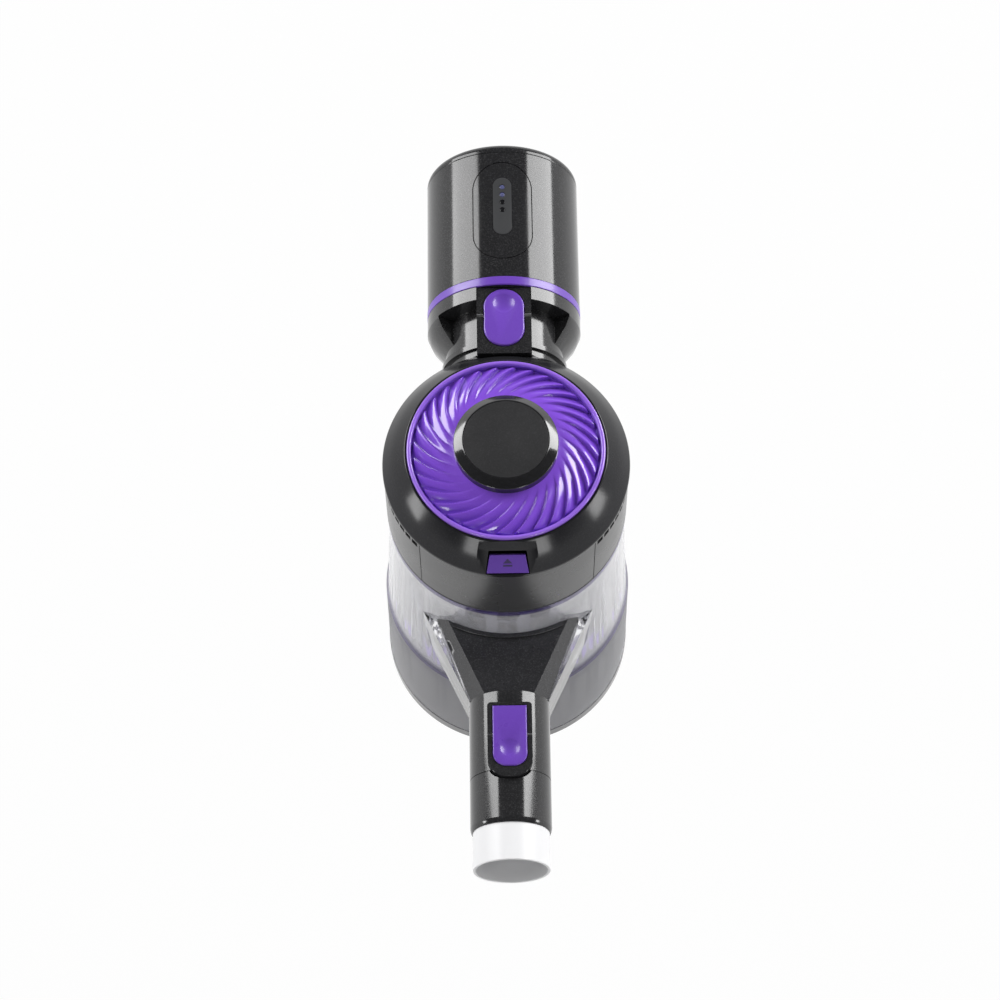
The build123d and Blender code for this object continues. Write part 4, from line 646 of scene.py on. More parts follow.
def carved(obj: bpy.types.Object, cutters: Sequence[bpy.types.Object], edge: float) -> bpy.types.Object:
    """Cut solids out of an object, and soften the edges that are left.

    Args:
        obj: Object to cut.
        cutters: Solids to cut out, which are removed.
        edge: Width of the softened edges, in mm.

    Returns:
        The object.
    """
    for cutter in cutters:
        cut = obj.modifiers.new(cutter.name, "BOOLEAN")
        cut.object, cut.operation, cut.solver = cutter, "DIFFERENCE", "EXACT"
    mesh = applied(obj)
    for cutter in cutters:
        bpy.data.objects.remove(cutter)
    mesh.shade_smooth()
    mesh.set_sharp_from_angle(angle=math.radians(CARVED_ANGLE))
    soften(obj, edge, CARVED_ANGLE)
    return obj


def true_round(obj: bpy.types.Object, line: Line, follows: float = 0.996) -> None:
    """Fix an object's mesh, and give the faces of its round walls the walls' own normals.

    Args:
        obj: The object, whose modifiers are applied.
        line: Axis and centre of the round walls.
        follows: Cosine of the angle within which a face counts as part of a round wall.
    """
    axis, centre = line
    mesh = applied(obj)
    normals = [Vector(corner.vector) for corner in mesh.corner_normals]
    for face in mesh.polygons:
        for index in face.loop_indices:
            x, y, z = mesh.vertices[mesh.loops[index].vertex_index].co / MM
            other = y if axis is TurnAxis.UP else z
            across = Vector((x - centre[0], other - centre[1])).normalized()
            out = Vector((across.x, across.y, 0.0)) if axis is TurnAxis.UP else Vector((across.x, 0.0, across.y))
            if face.normal.dot(out) > follows:
                normals[index] = out
    mesh.normals_split_custom_set(normals)


def soften(obj: bpy.types.Object, edge: float, angle: float) -> None:
    """Round the sharp edges of an object.

    Args:
        obj: The object.
        edge: Width of the rounding, in mm.
        angle: Edges sharper than this are rounded, in degrees.
    """
    bevel = obj.modifiers.new("soft_edges", "BEVEL")
    bevel.width = edge * MM
    bevel.segments = 3
    bevel.limit_method = "ANGLE"
    bevel.angle_limit = math.radians(angle)
    bevel.use_clamp_overlap = True
    bevel.harden_normals = True


@dataclass
class SubAssembly:
    """A group of pieces that is built and dressed together."""

    frame: dict[str, Any]
    paints: Paints

    def keep(self, obj: bpy.types.Object, body: str, slot: str, finish: Finish, *nodes: str) -> bpy.types.Object:
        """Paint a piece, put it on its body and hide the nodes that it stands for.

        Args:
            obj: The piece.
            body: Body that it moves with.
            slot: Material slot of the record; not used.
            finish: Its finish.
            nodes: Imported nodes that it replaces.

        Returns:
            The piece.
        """
        obj.data.materials.clear()
        obj.data.materials.append(self.paints.get(finish))
        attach(obj, body)
        if nodes:
            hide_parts(*nodes)
        log.info("%s rides on %s", obj.name, body)
        return obj

    def skin(self, node: str, body: str, slot: str, finish: Finish, edge: float = 0.4,
             wall: Line | None = None) -> None:
        """Copy a node's mesh, soften its edges and put it in the node's place.

        Args:
            node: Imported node.
            body: Body that it moves with.
            slot: Material slot of the record.
            finish: Its finish.
            edge: Width of the softened edges, in mm.
            wall: Line that its round walls go round, where it has them.
        """
        shape = bmesh.new()
        shape.from_mesh(self.frame["nodes"][node].data)
        bmesh.ops.remove_doubles(shape, verts=shape.verts, dist=WELD_DISTANCE)
        flat = math.radians(FLAT_ANGLE)
        bmesh.ops.dissolve_limit(shape, angle_limit=flat, verts=shape.verts, edges=shape.edges)
        obj = mesh_object(f"{node}_skin", shape, SHARP_ANGLE)
        soften(obj, edge, SHARP_ANGLE)
        if wall:
            true_round(obj, wall)
        self.keep(obj, body, slot, finish, node)

    def spring(self, node: str, body: str, joint: str, keep: float) -> None:
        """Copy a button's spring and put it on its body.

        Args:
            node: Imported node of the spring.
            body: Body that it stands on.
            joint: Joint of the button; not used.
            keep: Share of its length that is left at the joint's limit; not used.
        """
        shape = bmesh.new()
        shape.from_mesh(self.frame["nodes"][node].data)
        piece = self.keep(mesh_object(f"{node}_coil", shape, SHARP_ANGLE), body, "steel", STEEL, node)
        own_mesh(piece)


@dataclass
class SwirlTop(SubAssembly):
    """Motor housing, cap and the violet cover with its spiral vanes."""

    cap_radius: float = 55.8
    cap_bore: float = 44.6
    cap_bottom: float = 195.1
    cap_skirt: float = 196.9
    cap_shoulder: Point = (51.1, 203.6)
    cap_top: float = 210.0
    cap_lip: float = 0.8
    scoop_floor: tuple[float, ...] = (9.9, -9.3, 8.4, 6.0)
    scoop_mouth: tuple[float, ...] = (33.0, -14.3, 31.0, 18.0)
    scoop_depth: float = 5.0
    window: tuple[float, ...] = (9.9, -4.8, 8.4, 6.4)
    window_depth: float = 28.0
    window_lift: float = 0.3
    stem_slot: tuple[float, ...] = (3.8, -49.7, -44.0, 8.0)
    stem_below: float = 1.0
    notch_gap: float = 0.1
    notch_rise: float = 9.0
    cut_edge: float = 0.3
    rim_radius: float = 44.4
    rim_inner: float = 42.2
    rim_top: float = 211.2
    rim_bottom: float = 204.0
    lip_inset: float = 0.3
    dish_inner: float = 19.0
    edge_height: float = 207.8
    centre_height: float = 215.0
    dish_wall: float = 1.8
    dish_rings: int = 73
    dish_lap: float = 0.2
    dish_sharp: float = 50.0
    dish_seam: float = 1e-6
    top_run: float = 5 / 6
    vane_fade: Point = (0.832, 0.834)
    wall_start: float = 0.86
    wall_end: float = 0.97
    vanes: int = 32
    vane_sweep: float = 42.0
    vane_start: float = 0.20
    vane_end: float = 0.95
    vane_high: float = 2.4
    vane_share: float = 0.86
    vane_stop: float = 0.012
    vane_steps: int = 24
    hub_radius: float = 23.4
    hub_top_radius: float = 19.5
    hub_bottom: float = 211.0
    hub_edge: float = 217.6
    hub_top: float = 220.5
    hub_margin: float = 0.5
    disc_thick: float = 0.6
    disc_gap: float = 0.05

    def build(self) -> None:
        """Build the housing, cap, cover and hub."""
        self.skin("motor_housing", "main", "black_plastic", BAND, 0.3, MOTOR_LINE)
        self.crown()
        self.cover()
        self.hub()

    @staticmethod
    def sloped(outline: Sequence[float], lift: float) -> list[Spot]:
        """Place a trapezoid on the bin button's slope.

        Args:
            outline: Half width and height up the slope of its lower edge, then of its upper edge, in mm.
            lift: Distance out from the slope, in mm.

        Returns:
            Its corners, in mm.
        """
        half = math.sqrt(0.5)
        corners = []
        for width, height in (outline[:2], outline[2:]):
            y = BUTTON_PLACE[0] + half * (height - lift)
            z = BUTTON_PLACE[1] + half * (height + lift)
            corners += [(-width, y, z), (width, y, z)]
        return corners

    def crown(self) -> None:
        """Build the cap's sloping crown, cut out for the bin button and for the dock's block."""
        ring = turned("cap_crown", eased([
            (self.cap_bore, self.cap_bottom, 0.0), (self.cap_radius, self.cap_bottom, 0.3),
            (self.cap_radius, self.cap_skirt, 0.8), (*self.cap_shoulder, 3.0),
            (self.cap_bore + self.cap_lip, self.cap_top, 0.4), (self.cap_bore, self.cap_top, 0.2),
        ]), MOTOR_LINE, count=160)
        low, high = (Vector(corner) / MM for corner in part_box("dock_block"))
        wide, front, rear, rise = self.stem_slot
        cutters = [
            block("scoop", self.sloped(self.scoop_floor, 0.0) + self.sloped(self.scoop_mouth, self.scoop_depth)),
            block("window", self.sloped(self.window, self.window_lift) + self.sloped(self.window, -self.window_depth)),
            block("stem_slot", [(x, y, z) for x in (-wide, wide) for y in (front, rear)
                                for z in (self.cap_bottom - self.stem_below, self.cap_bottom + rise)]),
            block("notch", [(x, y, z) for x in (low.x - self.notch_gap, high.x + self.notch_gap)
                            for y in (low.y - self.notch_gap, high.y) for z in (low.z, high.z + self.notch_rise)]),
        ]
        self.keep(carved(ring, cutters, self.cut_edge), "main", "cap_plastic", CAP, "top_cap")

    def cover(self) -> None:
        """Build the cover's raised lip and its dish of spiral vanes."""
        self.dish()
        lip = eased([
            (self.rim_inner, self.rim_bottom, 0.0), (self.rim_radius, self.rim_bottom, 0.0),
            (self.rim_radius, self.rim_top, 0.9), (self.rim_inner + self.lip_inset, self.rim_top, 0.9),
        ])
        # The lip takes the lighter violet, which holds a painted highlight.
        self.keep(turned("swirl_lip", lip, MOTOR_LINE, count=256), "main", "purple_plastic", LIP_WITH_PAINTED_HIGHLIGHT)

    def dish(self) -> None:
        """Build the dish whose vanes follow one rule, with Geometry Nodes."""
        tree = GeometryTree("spiral_dish")
        vanes = tree.size("Vanes", float(self.vanes))
        sweep = tree.size("Sweep", math.radians(self.vane_sweep))
        inner = tree.size("Inner Radius", self.dish_inner * MM)
        outer = tree.size("Outer Radius", (self.rim_inner + self.dish_lap) * MM)
        top = tree.size("Centre Height", self.centre_height * MM)
        edge = tree.size("Edge Height", self.edge_height * MM)
        high = tree.size("Vane Height", self.vane_high * MM)
        wall = tree.size("Wall", self.dish_wall * MM)
        grid = tree.node("GeometryNodeMeshGrid", {
            "Size X": 1.0, "Size Y": 1.0, "Vertices X": self.dish_rings, "Vertices Y": self.vanes * self.vane_steps + 1,
        })
        place = tree.node("GeometryNodeInputPosition").outputs[0]
        split = tree.node("ShaderNodeSeparateXYZ", {0: place})
        run = tree.sum("ADD", split.outputs["X"], 0.5)
        back = tree.sum("MULTIPLY", tree.sum("SUBTRACT", 1.0, run), 1.0 / (1.0 - self.top_run))
        out = tree.sum("MINIMUM", tree.sum("MULTIPLY", run, 1.0 / self.top_run), back)
        (leave, arrive), fold, rejoin = self.vane_fade, self.wall_start, self.wall_end
        under = tree.sum("MINIMUM", tree.ease(run, arrive, fold, 0.0, 1.0), tree.ease(run, rejoin, 1.0, 1.0, 0.0))
        above = tree.ease(run, leave, arrive, 1.0, 0.0)
        angle = tree.sum("MULTIPLY", tree.sum("ADD", split.outputs["Y"], 0.5), 2 * math.pi)
        radius = tree.sum("ADD", inner, tree.sum("MULTIPLY", out, tree.sum("SUBTRACT", outer, inner)))
        turn = tree.sum("ADD", angle, tree.sum("MULTIPLY", out, sweep))
        phase = tree.sum("FRACT", tree.sum("DIVIDE", tree.sum("MULTIPLY", turn, vanes), 2 * math.pi))
        fall = tree.ease(phase, 0.0, self.vane_share, 1.0, 0.0)
        wave = tree.sum("MAXIMUM", fall, tree.ease(phase, self.vane_share, 1.0, 0.0, 1.0))
        grow = tree.ease(out, self.vane_start, self.vane_end, 0.0, high)
        stop = tree.ease(out, self.vane_end, self.vane_end + self.vane_stop, 1.0, 0.0)
        rise = tree.sum("MULTIPLY", tree.sum("MULTIPLY", wave, above), tree.sum("MULTIPLY", grow, stop))
        rise = tree.sum("SUBTRACT", rise, tree.sum("MULTIPLY", under, wall))
        base = tree.sum("ADD", top, tree.sum("MULTIPLY", out, tree.sum("SUBTRACT", edge, top)))
        spot = tree.node("ShaderNodeCombineXYZ", {
            "X": tree.sum("MULTIPLY", radius, tree.sum("COSINE", angle)),
            "Y": tree.sum("MULTIPLY", radius, tree.sum("SINE", angle)), "Z": tree.sum("ADD", base, rise),
        })
        move = tree.node("GeometryNodeSetPosition", {"Geometry": grid.outputs["Mesh"], "Position": spot.outputs[0]})
        close = tree.node("GeometryNodeMergeByDistance", {"Geometry": move.outputs[0], "Distance": self.dish_seam})
        smooth = tree.node("GeometryNodeSetShadeSmooth", {0: close.outputs[0]})
        obj = tree.finish("swirl_dish", smooth.outputs[0], self.paints.get(COVER))
        obj.data.set_sharp_from_angle(angle=math.radians(self.dish_sharp))
        self.keep(obj, "main", "purple_plastic", COVER, "swirl_cover")

    def hub(self) -> None:
        """Build the hub with its glossy bevel and its matte disc."""
        inner = self.hub_top_radius - self.hub_margin
        floor, under = self.hub_top - self.disc_thick / 2, self.hub_top - self.disc_thick
        ring = eased([
            (0.0, self.hub_bottom, 0.0), (self.hub_radius, self.hub_bottom, 0.0), (self.hub_radius, self.hub_edge, 0.3),
            (self.hub_top_radius, self.hub_top, 0.8), (inner, self.hub_top, 0.0), (inner, floor, 0.0),
            (0.0, floor, 0.0),
        ])
        edge = inner - self.disc_gap
        disc = eased([(0.0, under, 0.0), (edge, under, 0.0), (edge, self.hub_top, 0.15), (0.0, self.hub_top, 0.0)])
        self.keep(turned("hub_ring", ring, MOTOR_LINE), "main", "hub_plastic", HUB, "hub_cap")
        self.keep(turned("hub_disc", disc, MOTOR_LINE), "main", "hub_plastic", HUB_TOP)


@dataclass
class DustBin(SubAssembly):
    """Clear bin with its lid, latch and release button."""

    button_slope: float = 45.0
    sign_half: float = 2.0
    sign_peak: float = 1.1
    sign_gap: float = 0.35
    sign_bar: float = 0.8
    sign_sink: float = 0.05
    sign_thick: float = 0.11

    def build(self) -> None:
        """Build the bin, its lid and its two controls."""
        self.skin("bin_cup", "bin", "clear_plastic", BIN_CLEAR, 0.25)
        self.skin("bin_lid", "lid", "dark_plastic", LID, 0.5)
        self.skin("lid_latch", "lid_latch", "purple_plastic", PURPLE, 0.35)
        self.skin("bin_button", "bin_button", "purple_plastic", PURPLE, 0.3)
        self.sign()

    def sign(self) -> None:
        """Build the small release sign, a triangle over a bar, on the button's slope."""
        slope = math.radians(self.button_slope)
        uphill = Vector((0.0, math.cos(slope), math.sin(slope)))
        outward = Vector((0.0, -math.sin(slope), math.cos(slope)))
        middle = Vector((0.0, *BUTTON_PLACE))
        half, gap, bar = self.sign_half, self.sign_gap, -self.sign_gap - self.sign_bar
        shapes = (
            ((-half, gap), (half, gap), (0.0, gap + self.sign_peak * half)),
            ((-half, bar), (half, bar), (half, -gap), (-half, -gap)),
        )
        shape = bmesh.new()
        for outline in shapes:
            spots = [middle + Vector((across, 0.0, 0.0)) + uphill * along for across, along in outline]
            base = [shape.verts.new((spot - outward * self.sign_sink) * MM) for spot in spots]
            face = shape.faces.new(base)
            raised = bmesh.ops.extrude_face_region(shape, geom=[face])["geom"]
            moved = [item for item in raised if isinstance(item, bmesh.types.BMVert)]
            bmesh.ops.translate(shape, verts=moved, vec=outward * self.sign_thick * MM)
        bmesh.ops.recalc_face_normals(shape, faces=shape.faces)
        self.keep(mesh_object("release_sign", shape, SHARP_ANGLE), "bin_button", "purple_plastic", SIGN)


@dataclass
class InletAndWand(SubAssembly):
    """Inlet duct, socket, wand button, collar and tube."""

    spring_keep: float = 0.51
    collar_radius: float = 18.6
    collar_start: float = -122.8
    collar_end: float = -147.5
    collar_round: float = 3.0
    collar_drop: float = 0.7
    collar_steps: int = 8
    collar_power: float = 2.4
    spigot_radius: float = 13.7
    spigot_wall: float = 2.4
    spigot_end: float = -88.0
    seat_radius: float = 17.5
    seat_depth: float = 16.0
    notch_half: float = 10.5
    notch_front: float = -127.3
    notch_round: float = 9.3
    notch_back: float = 20.0
    notch_high: float = 12.0
    cut_edge: float = 0.25
    ledge_inner: float = 55.4
    ledge_width: float = 2.1
    ledge_bottom: float = 129.6
    ledge_height: float = 1.3
    ledge_angle: float = 26.5
    ledge_steps: int = 48

    def build(self) -> None:
        """Build the inlet from the bin to the tube."""
        self.skin("inlet_duct", "bin", "duct_plastic", DUCT, 0.4)
        self.skin("inlet_frame", "bin", "clear_plastic", CLEAR, 0.25)
        self.skin("inlet_socket", "bin", "black_plastic", BLACK, 0.5, WAND_LINE)
        self.spring("wand_button_spring", "bin", "wand_button_rock", self.spring_keep)
        self.skin("wand_button", "wand_button", "purple_plastic", PURPLE, 0.4)
        self.skin("wand_tube", "wand", "white_tube", WHITE, 0.25)
        self.collar()
        self.ledge()

    def collar(self) -> None:
        """Build the collar with its spigot and its rounded end, notched for the button's bezel."""
        bore = self.spigot_radius - self.spigot_wall
        seat = self.collar_end + self.seat_depth
        shares = [step / self.collar_steps for step in range(self.collar_steps + 1)]
        edge = [(self.collar_radius - self.collar_drop * share ** self.collar_power,
                 self.collar_end + self.collar_round * (1 - share)) for share in shares]
        outline = [
            (bore, self.spigot_end), (self.spigot_radius, self.spigot_end), (self.spigot_radius, self.collar_start),
            (self.collar_radius, self.collar_start), *edge, (self.seat_radius, self.collar_end),
            (self.seat_radius, seat), (bore, seat),
        ]
        shell = turned("collar_shell", outline, WAND_LINE, count=160)
        rear, half = self.collar_start + self.notch_back, self.notch_half
        plan = eased([(-half, rear, 0.0), (half, rear, 0.0), (half, self.notch_front, self.notch_round),
                      (-half, self.notch_front, self.notch_round)])
        floor = WAND_LINE[1][1] + self.spigot_radius
        notch = block("notch", [(x, y, z) for x, y in plan for z in (floor, floor + self.notch_high)])
        carved(shell, [notch], self.cut_edge)
        true_round(shell, WAND_LINE)
        self.keep(shell, "wand", "black_plastic", BLACK, "wand_collar")

    def ledge(self) -> None:
        """Build the ledge on the duct along the bin's wall."""
        shape = bmesh.new()
        outer, top = self.ledge_inner + self.ledge_width, self.ledge_bottom + self.ledge_height
        section = eased([(self.ledge_inner, self.ledge_bottom, 0.0), (outer, self.ledge_bottom, 0.0), (outer, top, 0.4),
                         (self.ledge_inner, top, 0.2)])
        rings = []
        for step in range(self.ledge_steps + 1):
            turn = math.radians(self.ledge_angle * (2 * step / self.ledge_steps - 1))
            spots = [Vector((r * math.sin(turn), -r * math.cos(turn), z)) for r, z in section]
            rings.append([shape.verts.new(spot * MM) for spot in spots])
        for here, there in zip(rings, rings[1:]):
            joined(shape, here, there)
        for end in (rings[0], rings[-1]):
            shape.faces.new(end)
        bmesh.ops.recalc_face_normals(shape, faces=shape.faces)
        self.keep(mesh_object("duct_ledge", shape, TURNED_ANGLE), "bin", "duct_plastic", DUCT)


@dataclass
class DockAndBattery(SubAssembly):
    """Dock, battery release and the battery with its indicator panel."""

    light_count: int = 4
    light_rise: float = 0.35
    spring_keep: float = 0.64

    def build(self) -> None:
        """Build the dock and the battery."""
        self.skin("dock_shell", "main", "black_plastic", BLACK, 0.4, BATTERY_LINE)
        self.skin("dock_block", "main", "black_plastic", BLACK, 0.4)
        self.skin("battery_button", "battery_button", "purple_plastic", PURPLE, 0.4)
        self.spring("battery_button_spring", "main", "battery_button_rock", self.spring_keep)
        self.skin("battery_shell", "battery", "battery_plastic", BATTERY, 0.3, BATTERY_LINE)
        self.skin("battery_end_cap", "battery", "battery_plastic", BATTERY, 0.6, BATTERY_LINE)
        self.skin("battery_ring", "battery", "purple_plastic", PURPLE, 0.4, BATTERY_LINE)
        self.skin("battery_panel", "battery", "panel_plastic", PANEL, 0.25, BATTERY_LINE)
        self.skin("indicator_window", "battery", "window_plastic", WINDOW, 0.15)
        self.lights()

    def lights(self) -> None:
        """Build the row of small domed lights, with Geometry Nodes."""
        low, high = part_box("indicator_lights")
        radius = (high[0] - low[0]) / 2
        pitch = (high[1] - low[1] - 2 * radius) / (self.light_count - 1)
        tree = GeometryTree("light_row")
        row = tree.node("GeometryNodeMeshLine", {
            "Count": tree.size("Lights", self.light_count),
            "Start Location": tree.size("First Light", (0.0, low[1] + radius, high[2] - self.light_rise * MM)),
            "Offset": tree.size("Pitch", (0.0, pitch, 0.0)),
        }, mode="OFFSET")
        dome = tree.node("GeometryNodeMeshUVSphere", {
            "Segments": 32, "Rings": 16, "Radius": tree.size("Radius", radius),
        })
        flat = tree.moved(dome.outputs["Mesh"], Scale=(1.0, 1.0, self.light_rise * MM / radius))
        lights = tree.set_on(row.outputs["Mesh"], flat)
        obj = tree.finish("light_row", lights, self.paints.get(LIGHTS))
        obj.data.shade_smooth()
        self.keep(obj, "battery", "light_plastic", LIGHTS, "indicator_lights")


@dataclass
class Grip(SubAssembly):
    """Pistol grip with its trigger and screws."""

    side: float = -16.0
    screw_spots: tuple[Point, ...] = ((102.0, 128.4), (122.0, 128.4), (120.0, 41.4))
    head_radius: float = 2.8
    head_depth: float = 2.0
    shank_radius: float = 1.5
    shank_length: float = 20.0
    recess_width: float = 0.8
    recess_length: float = 3.4
    recess_depth: float = 1.2

    def build(self) -> None:
        """Build the two halves, the trigger and the screws."""
        self.skin("grip_left", "main", "grip_plastic", GRIP, 0.4)
        self.skin("grip_right", "main", "grip_plastic", GRIP, 0.4)
        self.skin("trigger", "trigger", "purple_plastic", PURPLE, 0.4)
        self.screws()

    def screws(self) -> None:
        """Build the cross-head screws on their spots, with Geometry Nodes."""
        tree = GeometryTree("grip_screw_set")
        head = tree.node("GeometryNodeMeshCylinder", {
            "Vertices": 40, "Radius": tree.size("Head Radius", self.head_radius * MM),
            "Depth": tree.size("Head Depth", self.head_depth * MM),
        })
        bars = []
        for across, along in ((self.recess_width, self.recess_length), (self.recess_length, self.recess_width)):
            bar = tree.node("GeometryNodeMeshCube", {"Size": (across * MM, along * MM, 2 * self.recess_depth * MM)})
            bars.append(tree.moved(bar.outputs["Mesh"], Translation=(0.0, 0.0, self.head_depth / 2 * MM)))
        cut = tree.node("GeometryNodeMeshBoolean", {"Mesh 1": head.outputs["Mesh"], "Mesh 2": bars},
                        operation="DIFFERENCE")
        shank = tree.node("GeometryNodeMeshCylinder", {
            "Vertices": 24, "Radius": tree.size("Shank Radius", self.shank_radius * MM),
            "Depth": tree.size("Shank Length", self.shank_length * MM),
        })
        drop = -(self.head_depth + self.shank_length) / 2 * MM
        low = tree.moved(shank.outputs["Mesh"], Translation=(0.0, 0.0, drop))
        screw = tree.node("GeometryNodeJoinGeometry", {0: [low, cut.outputs["Mesh"]]})
        points = []
        for count, (y, z) in enumerate(self.screw_spots, 1):
            centre = ((self.side + self.head_depth / 2) * MM, y * MM, z * MM)
            points.append(tree.node("GeometryNodePoints", {"Position": tree.size(f"Spot {count}", centre)}).outputs[0])
        spots = tree.node("GeometryNodeJoinGeometry", {0: points})
        screws = tree.set_on(spots.outputs[0], screw.outputs[0], Rotation=(0.0, -math.pi / 2, 0.0))
        obj = tree.finish("grip_screw_set", screws, self.paints.get(STEEL))
        obj.data.shade_smooth()
        obj.data.set_sharp_from_angle(angle=math.radians(SHARP_ANGLE))
        self.keep(obj, "main", "steel", STEEL, "grip_screws")


@dataclass
class FilterStack(SubAssembly):
    """Wire screen in the windows of the filter shroud."""

    screen_radius: float = 37.2
    foot: float = 6.0
    height: float = 60.0
    uprights: int = 150
    hoops: int = 40
    wire: float = 0.11
    rod_sides: int = 6
    hoop_sides: int = 5
    hoop_steps: int = 120

    def build(self) -> None:
        """Build the screen of uprights and hoops, with Geometry Nodes."""
        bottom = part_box("filter_shroud")[0][2] + self.foot * MM
        tree = GeometryTree("wire_screen")
        radius = tree.size("Screen Radius", self.screen_radius * MM)
        wire = tree.size("Wire Radius", self.wire * MM)
        circle = tree.node("GeometryNodeMeshCircle", {
            "Vertices": tree.size("Uprights", self.uprights), "Radius": radius,
        })
        rod = tree.node("GeometryNodeMeshCylinder", {
            "Vertices": self.rod_sides, "Radius": wire, "Depth": tree.size("Height", self.height * MM),
        })
        line = tree.node("GeometryNodeMeshLine", {
            "Count": tree.size("Hoops", self.hoops), "Start Location": (0.0, 0.0, -self.height / 2 * MM),
            "Offset": (0.0, 0.0, self.height / (self.hoops - 1) * MM),
        }, mode="OFFSET")
        path, section = (
            tree.node("GeometryNodeCurvePrimitiveCircle", {"Resolution": steps, "Radius": size}).outputs["Curve"]
            for steps, size in ((self.hoop_steps, radius), (self.hoop_sides, wire))
        )
        hoop = tree.node("GeometryNodeCurveToMesh", {"Curve": path, "Profile Curve": section})
        parts = [tree.set_on(circle.outputs["Mesh"], rod.outputs["Mesh"]),
                 tree.set_on(line.outputs["Mesh"], hoop.outputs["Mesh"])]
        both = tree.node("GeometryNodeJoinGeometry", {0: parts})
        screen = tree.moved(both.outputs[0], Translation=(0.0, 0.0, bottom + self.height / 2 * MM))
        obj = tree.finish("wire_screen", screen, self.paints.get(SCREEN))
        obj.data.shade_smooth()
        self.keep(obj, "main", "filter_metal", SCREEN)


@dataclass
class InnerWorks(SubAssembly):
    """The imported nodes' own meshes, which show where no piece stands for them."""

    def build(self) -> None:
        """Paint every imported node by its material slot."""
        for row in self.frame["record"]["subparts"]:
            mesh = self.frame["nodes"][row["node"]].data
            mesh.materials.clear()
            mesh.materials.append(self.paints.get(SLOT_FINISH[row["material_slot"]]))
            log.info("%s is painted", row["node"])


@dataclass(frozen=True)
class Lamp:
    """One soft rectangular lamp: its middle, the point that it faces and its size in metres, and its watts."""

    name: str
    place: Spot
    aim: Spot
    height: float
    length: float
    power: float

    def hang(self) -> None:
        """Add the lamp to the scene."""
        light = bpy.data.lights.new(self.name, "AREA")
        light.shape = "RECTANGLE"
        light.size, light.size_y, light.energy = self.length, self.height, self.power
        obj = bpy.data.objects.new(self.name, light)
        bpy.context.scene.collection.objects.link(obj)
        turn = (Vector(self.aim) - Vector(self.place)).to_track_quat("-Z", "Y")
        obj.matrix_world = Matrix.Translation(self.place) @ turn.to_matrix().to_4x4()


LAMP_AIM: Spot = (0.0, 0.0, 0.2)
LAMPS: tuple[Lamp, ...] = (
    Lamp("left_softbox", (-0.95, 0.69, 0.90), (0.0, 0.69, 0.90), 1.15, 0.88, 25.0),
    Lamp("right_softbox", (0.95, 0.69, 0.84), (0.0, 0.69, 0.84), 1.02, 0.88, 28.0),
    Lamp("left_low_strip", (-1.2, -0.24, 0.36), LAMP_AIM, 0.20, 0.34, 2.6),
    Lamp("left_front_strip", (-0.48, -1.0, 0.55), LAMP_AIM, 0.28, 0.26, 2.2),
    Lamp("right_low_strip", (1.2, -0.24, 0.36), LAMP_AIM, 0.20, 0.34, 2.6),
    Lamp("right_front_strip", (0.48, -1.0, 0.55), LAMP_AIM, 0.28, 0.26, 2.2),
)


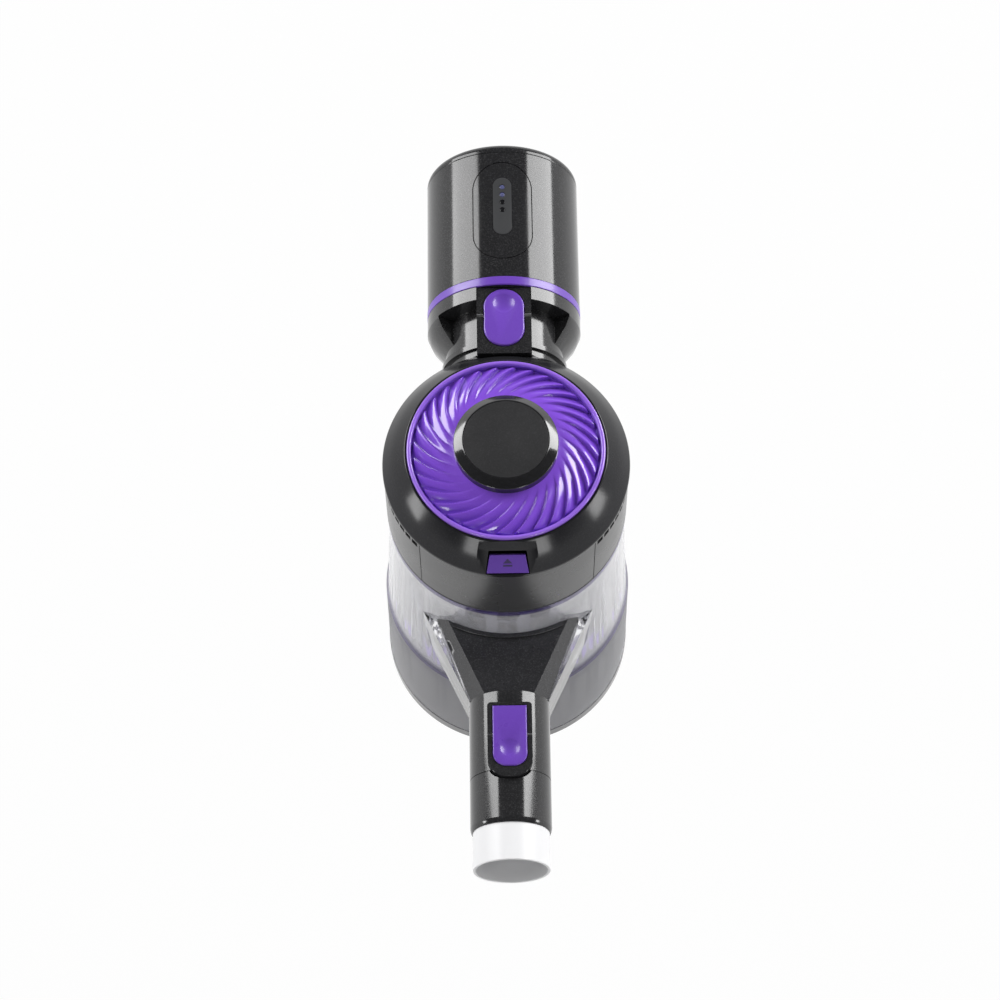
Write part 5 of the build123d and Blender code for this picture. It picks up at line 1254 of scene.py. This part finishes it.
@dataclass
class Studio:
    """Floor, lamps, background and camera."""

    elevation: float = 64.5
    roll: float = 0.8
    distance: float = 1.3
    lens: float = 105.3
    sensor: float = 36.0
    clip: Point = (0.01, 20.0)
    target: Spot = (-0.003, -0.022, 0.204)
    floor_height: float = -0.28
    floor_half: float = 4.0
    floor_tone: float = 0.50
    floor_roughness: float = 0.9
    floor_white: float = 0.97
    horizon: Point = (0.10, 0.35)
    world_low: float = 1.0
    world_high: float = 0.05
    world_diffuse: float = 0.22

    def build(self) -> None:
        """Set up the studio."""
        self.floor()
        for lamp in LAMPS:
            lamp.hang()
        self.background()
        self.camera()

    @staticmethod
    def seen(tree: bpy.types.NodeTree) -> Any:
        """Add a mask of the rays that see the background: from the camera, off gloss and through glass.

        Args:
            tree: The tree that it goes in.

        Returns:
            The mask's socket.
        """
        path = add_node(tree, "ShaderNodeLightPath")
        mask = path.outputs["Is Camera Ray"]
        for kind in ("Is Glossy Ray", "Is Transmission Ray"):
            mask = add_node(tree, "ShaderNodeMath", {0: mask, 1: path.outputs[kind]}, operation="MAXIMUM").outputs[0]
        return mask

    def floor(self) -> None:
        """Add the pale floor, which keeps a soft shadow."""
        shape = bmesh.new()
        bmesh.ops.create_grid(shape, x_segments=8, y_segments=8, size=self.floor_half)
        floor = mesh_object("studio_floor", shape, SHARP_ANGLE)
        floor.location.z = self.floor_height
        material = bpy.data.materials.new("studio_white")
        material.use_nodes = True
        tree = material.node_tree
        matte = tree.nodes["Principled BSDF"]
        matte.inputs["Base Color"].default_value = (self.floor_tone,) * 3 + (1.0,)
        matte.inputs["Roughness"].default_value = self.floor_roughness
        bright = add_node(tree, "ShaderNodeEmission", {"Color": (1.0, 1.0, 1.0, 1.0)}).outputs["Emission"]
        share = add_node(tree, "ShaderNodeMath", {0: self.seen(tree), 1: self.floor_white}, operation="MULTIPLY")
        blend = add_node(tree, "ShaderNodeMixShader", {0: share.outputs[0], 1: matte.outputs["BSDF"], 2: bright})
        feed(tree, tree.nodes["Material Output"].inputs["Surface"], blend.outputs["Shader"])
        floor.data.materials.append(material)

    def background(self) -> None:
        """Set a world that is white low down and dim overhead."""
        world = bpy.data.worlds.new("studio_world")
        bpy.context.scene.world = world
        world.use_nodes = True
        tree = world.node_tree
        place = add_node(tree, "ShaderNodeTexCoord").outputs["Generated"]
        height = add_node(tree, "ShaderNodeSeparateXYZ", {0: place}).outputs["Z"]
        ramp = smooth_range(tree, height, *self.horizon, self.world_low, self.world_high)
        shade = tree.nodes["Background"]
        shade.inputs["Color"].default_value = (1.0, 1.0, 1.0, 1.0)
        feed(tree, shade.inputs["Strength"], mixed(tree, self.seen(tree), self.world_diffuse, ramp, colours=False))

    def camera(self) -> None:
        """Add the camera at the photograph's angle."""
        data = bpy.data.cameras.new("photo_camera")
        data.lens, data.sensor_width = self.lens, self.sensor
        data.clip_start, data.clip_end = self.clip
        obj = bpy.data.objects.new("photo_camera", data)
        bpy.context.scene.collection.objects.link(obj)
        lift, roll = math.radians(self.elevation), math.radians(self.roll)
        look = Vector((0.0, math.cos(lift), -math.sin(lift)))
        right = Vector((1.0, 0.0, 0.0))
        up = right.cross(look)
        across = right * math.cos(roll) - up * math.sin(roll)
        upward = right * math.sin(roll) + up * math.cos(roll)
        turn = Matrix((across, upward, -look)).transposed().to_4x4()
        obj.matrix_world = Matrix.Translation(Vector(self.target) - look * self.distance) @ turn
        bpy.context.scene.camera = obj


def main() -> None:
    """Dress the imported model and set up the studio."""
    logging.basicConfig(level=logging.INFO, format="%(message)s")
    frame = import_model()
    bpy.context.scene.view_settings.view_transform = "Standard"
    paints = Paints()
    InnerWorks(frame, paints).build()
    for assembly in (SwirlTop, DustBin, InletAndWand, DockAndBattery, Grip, FilterStack):
        assembly(frame, paints).build()
    Studio().build()


if __name__ == "__main__":
    main()
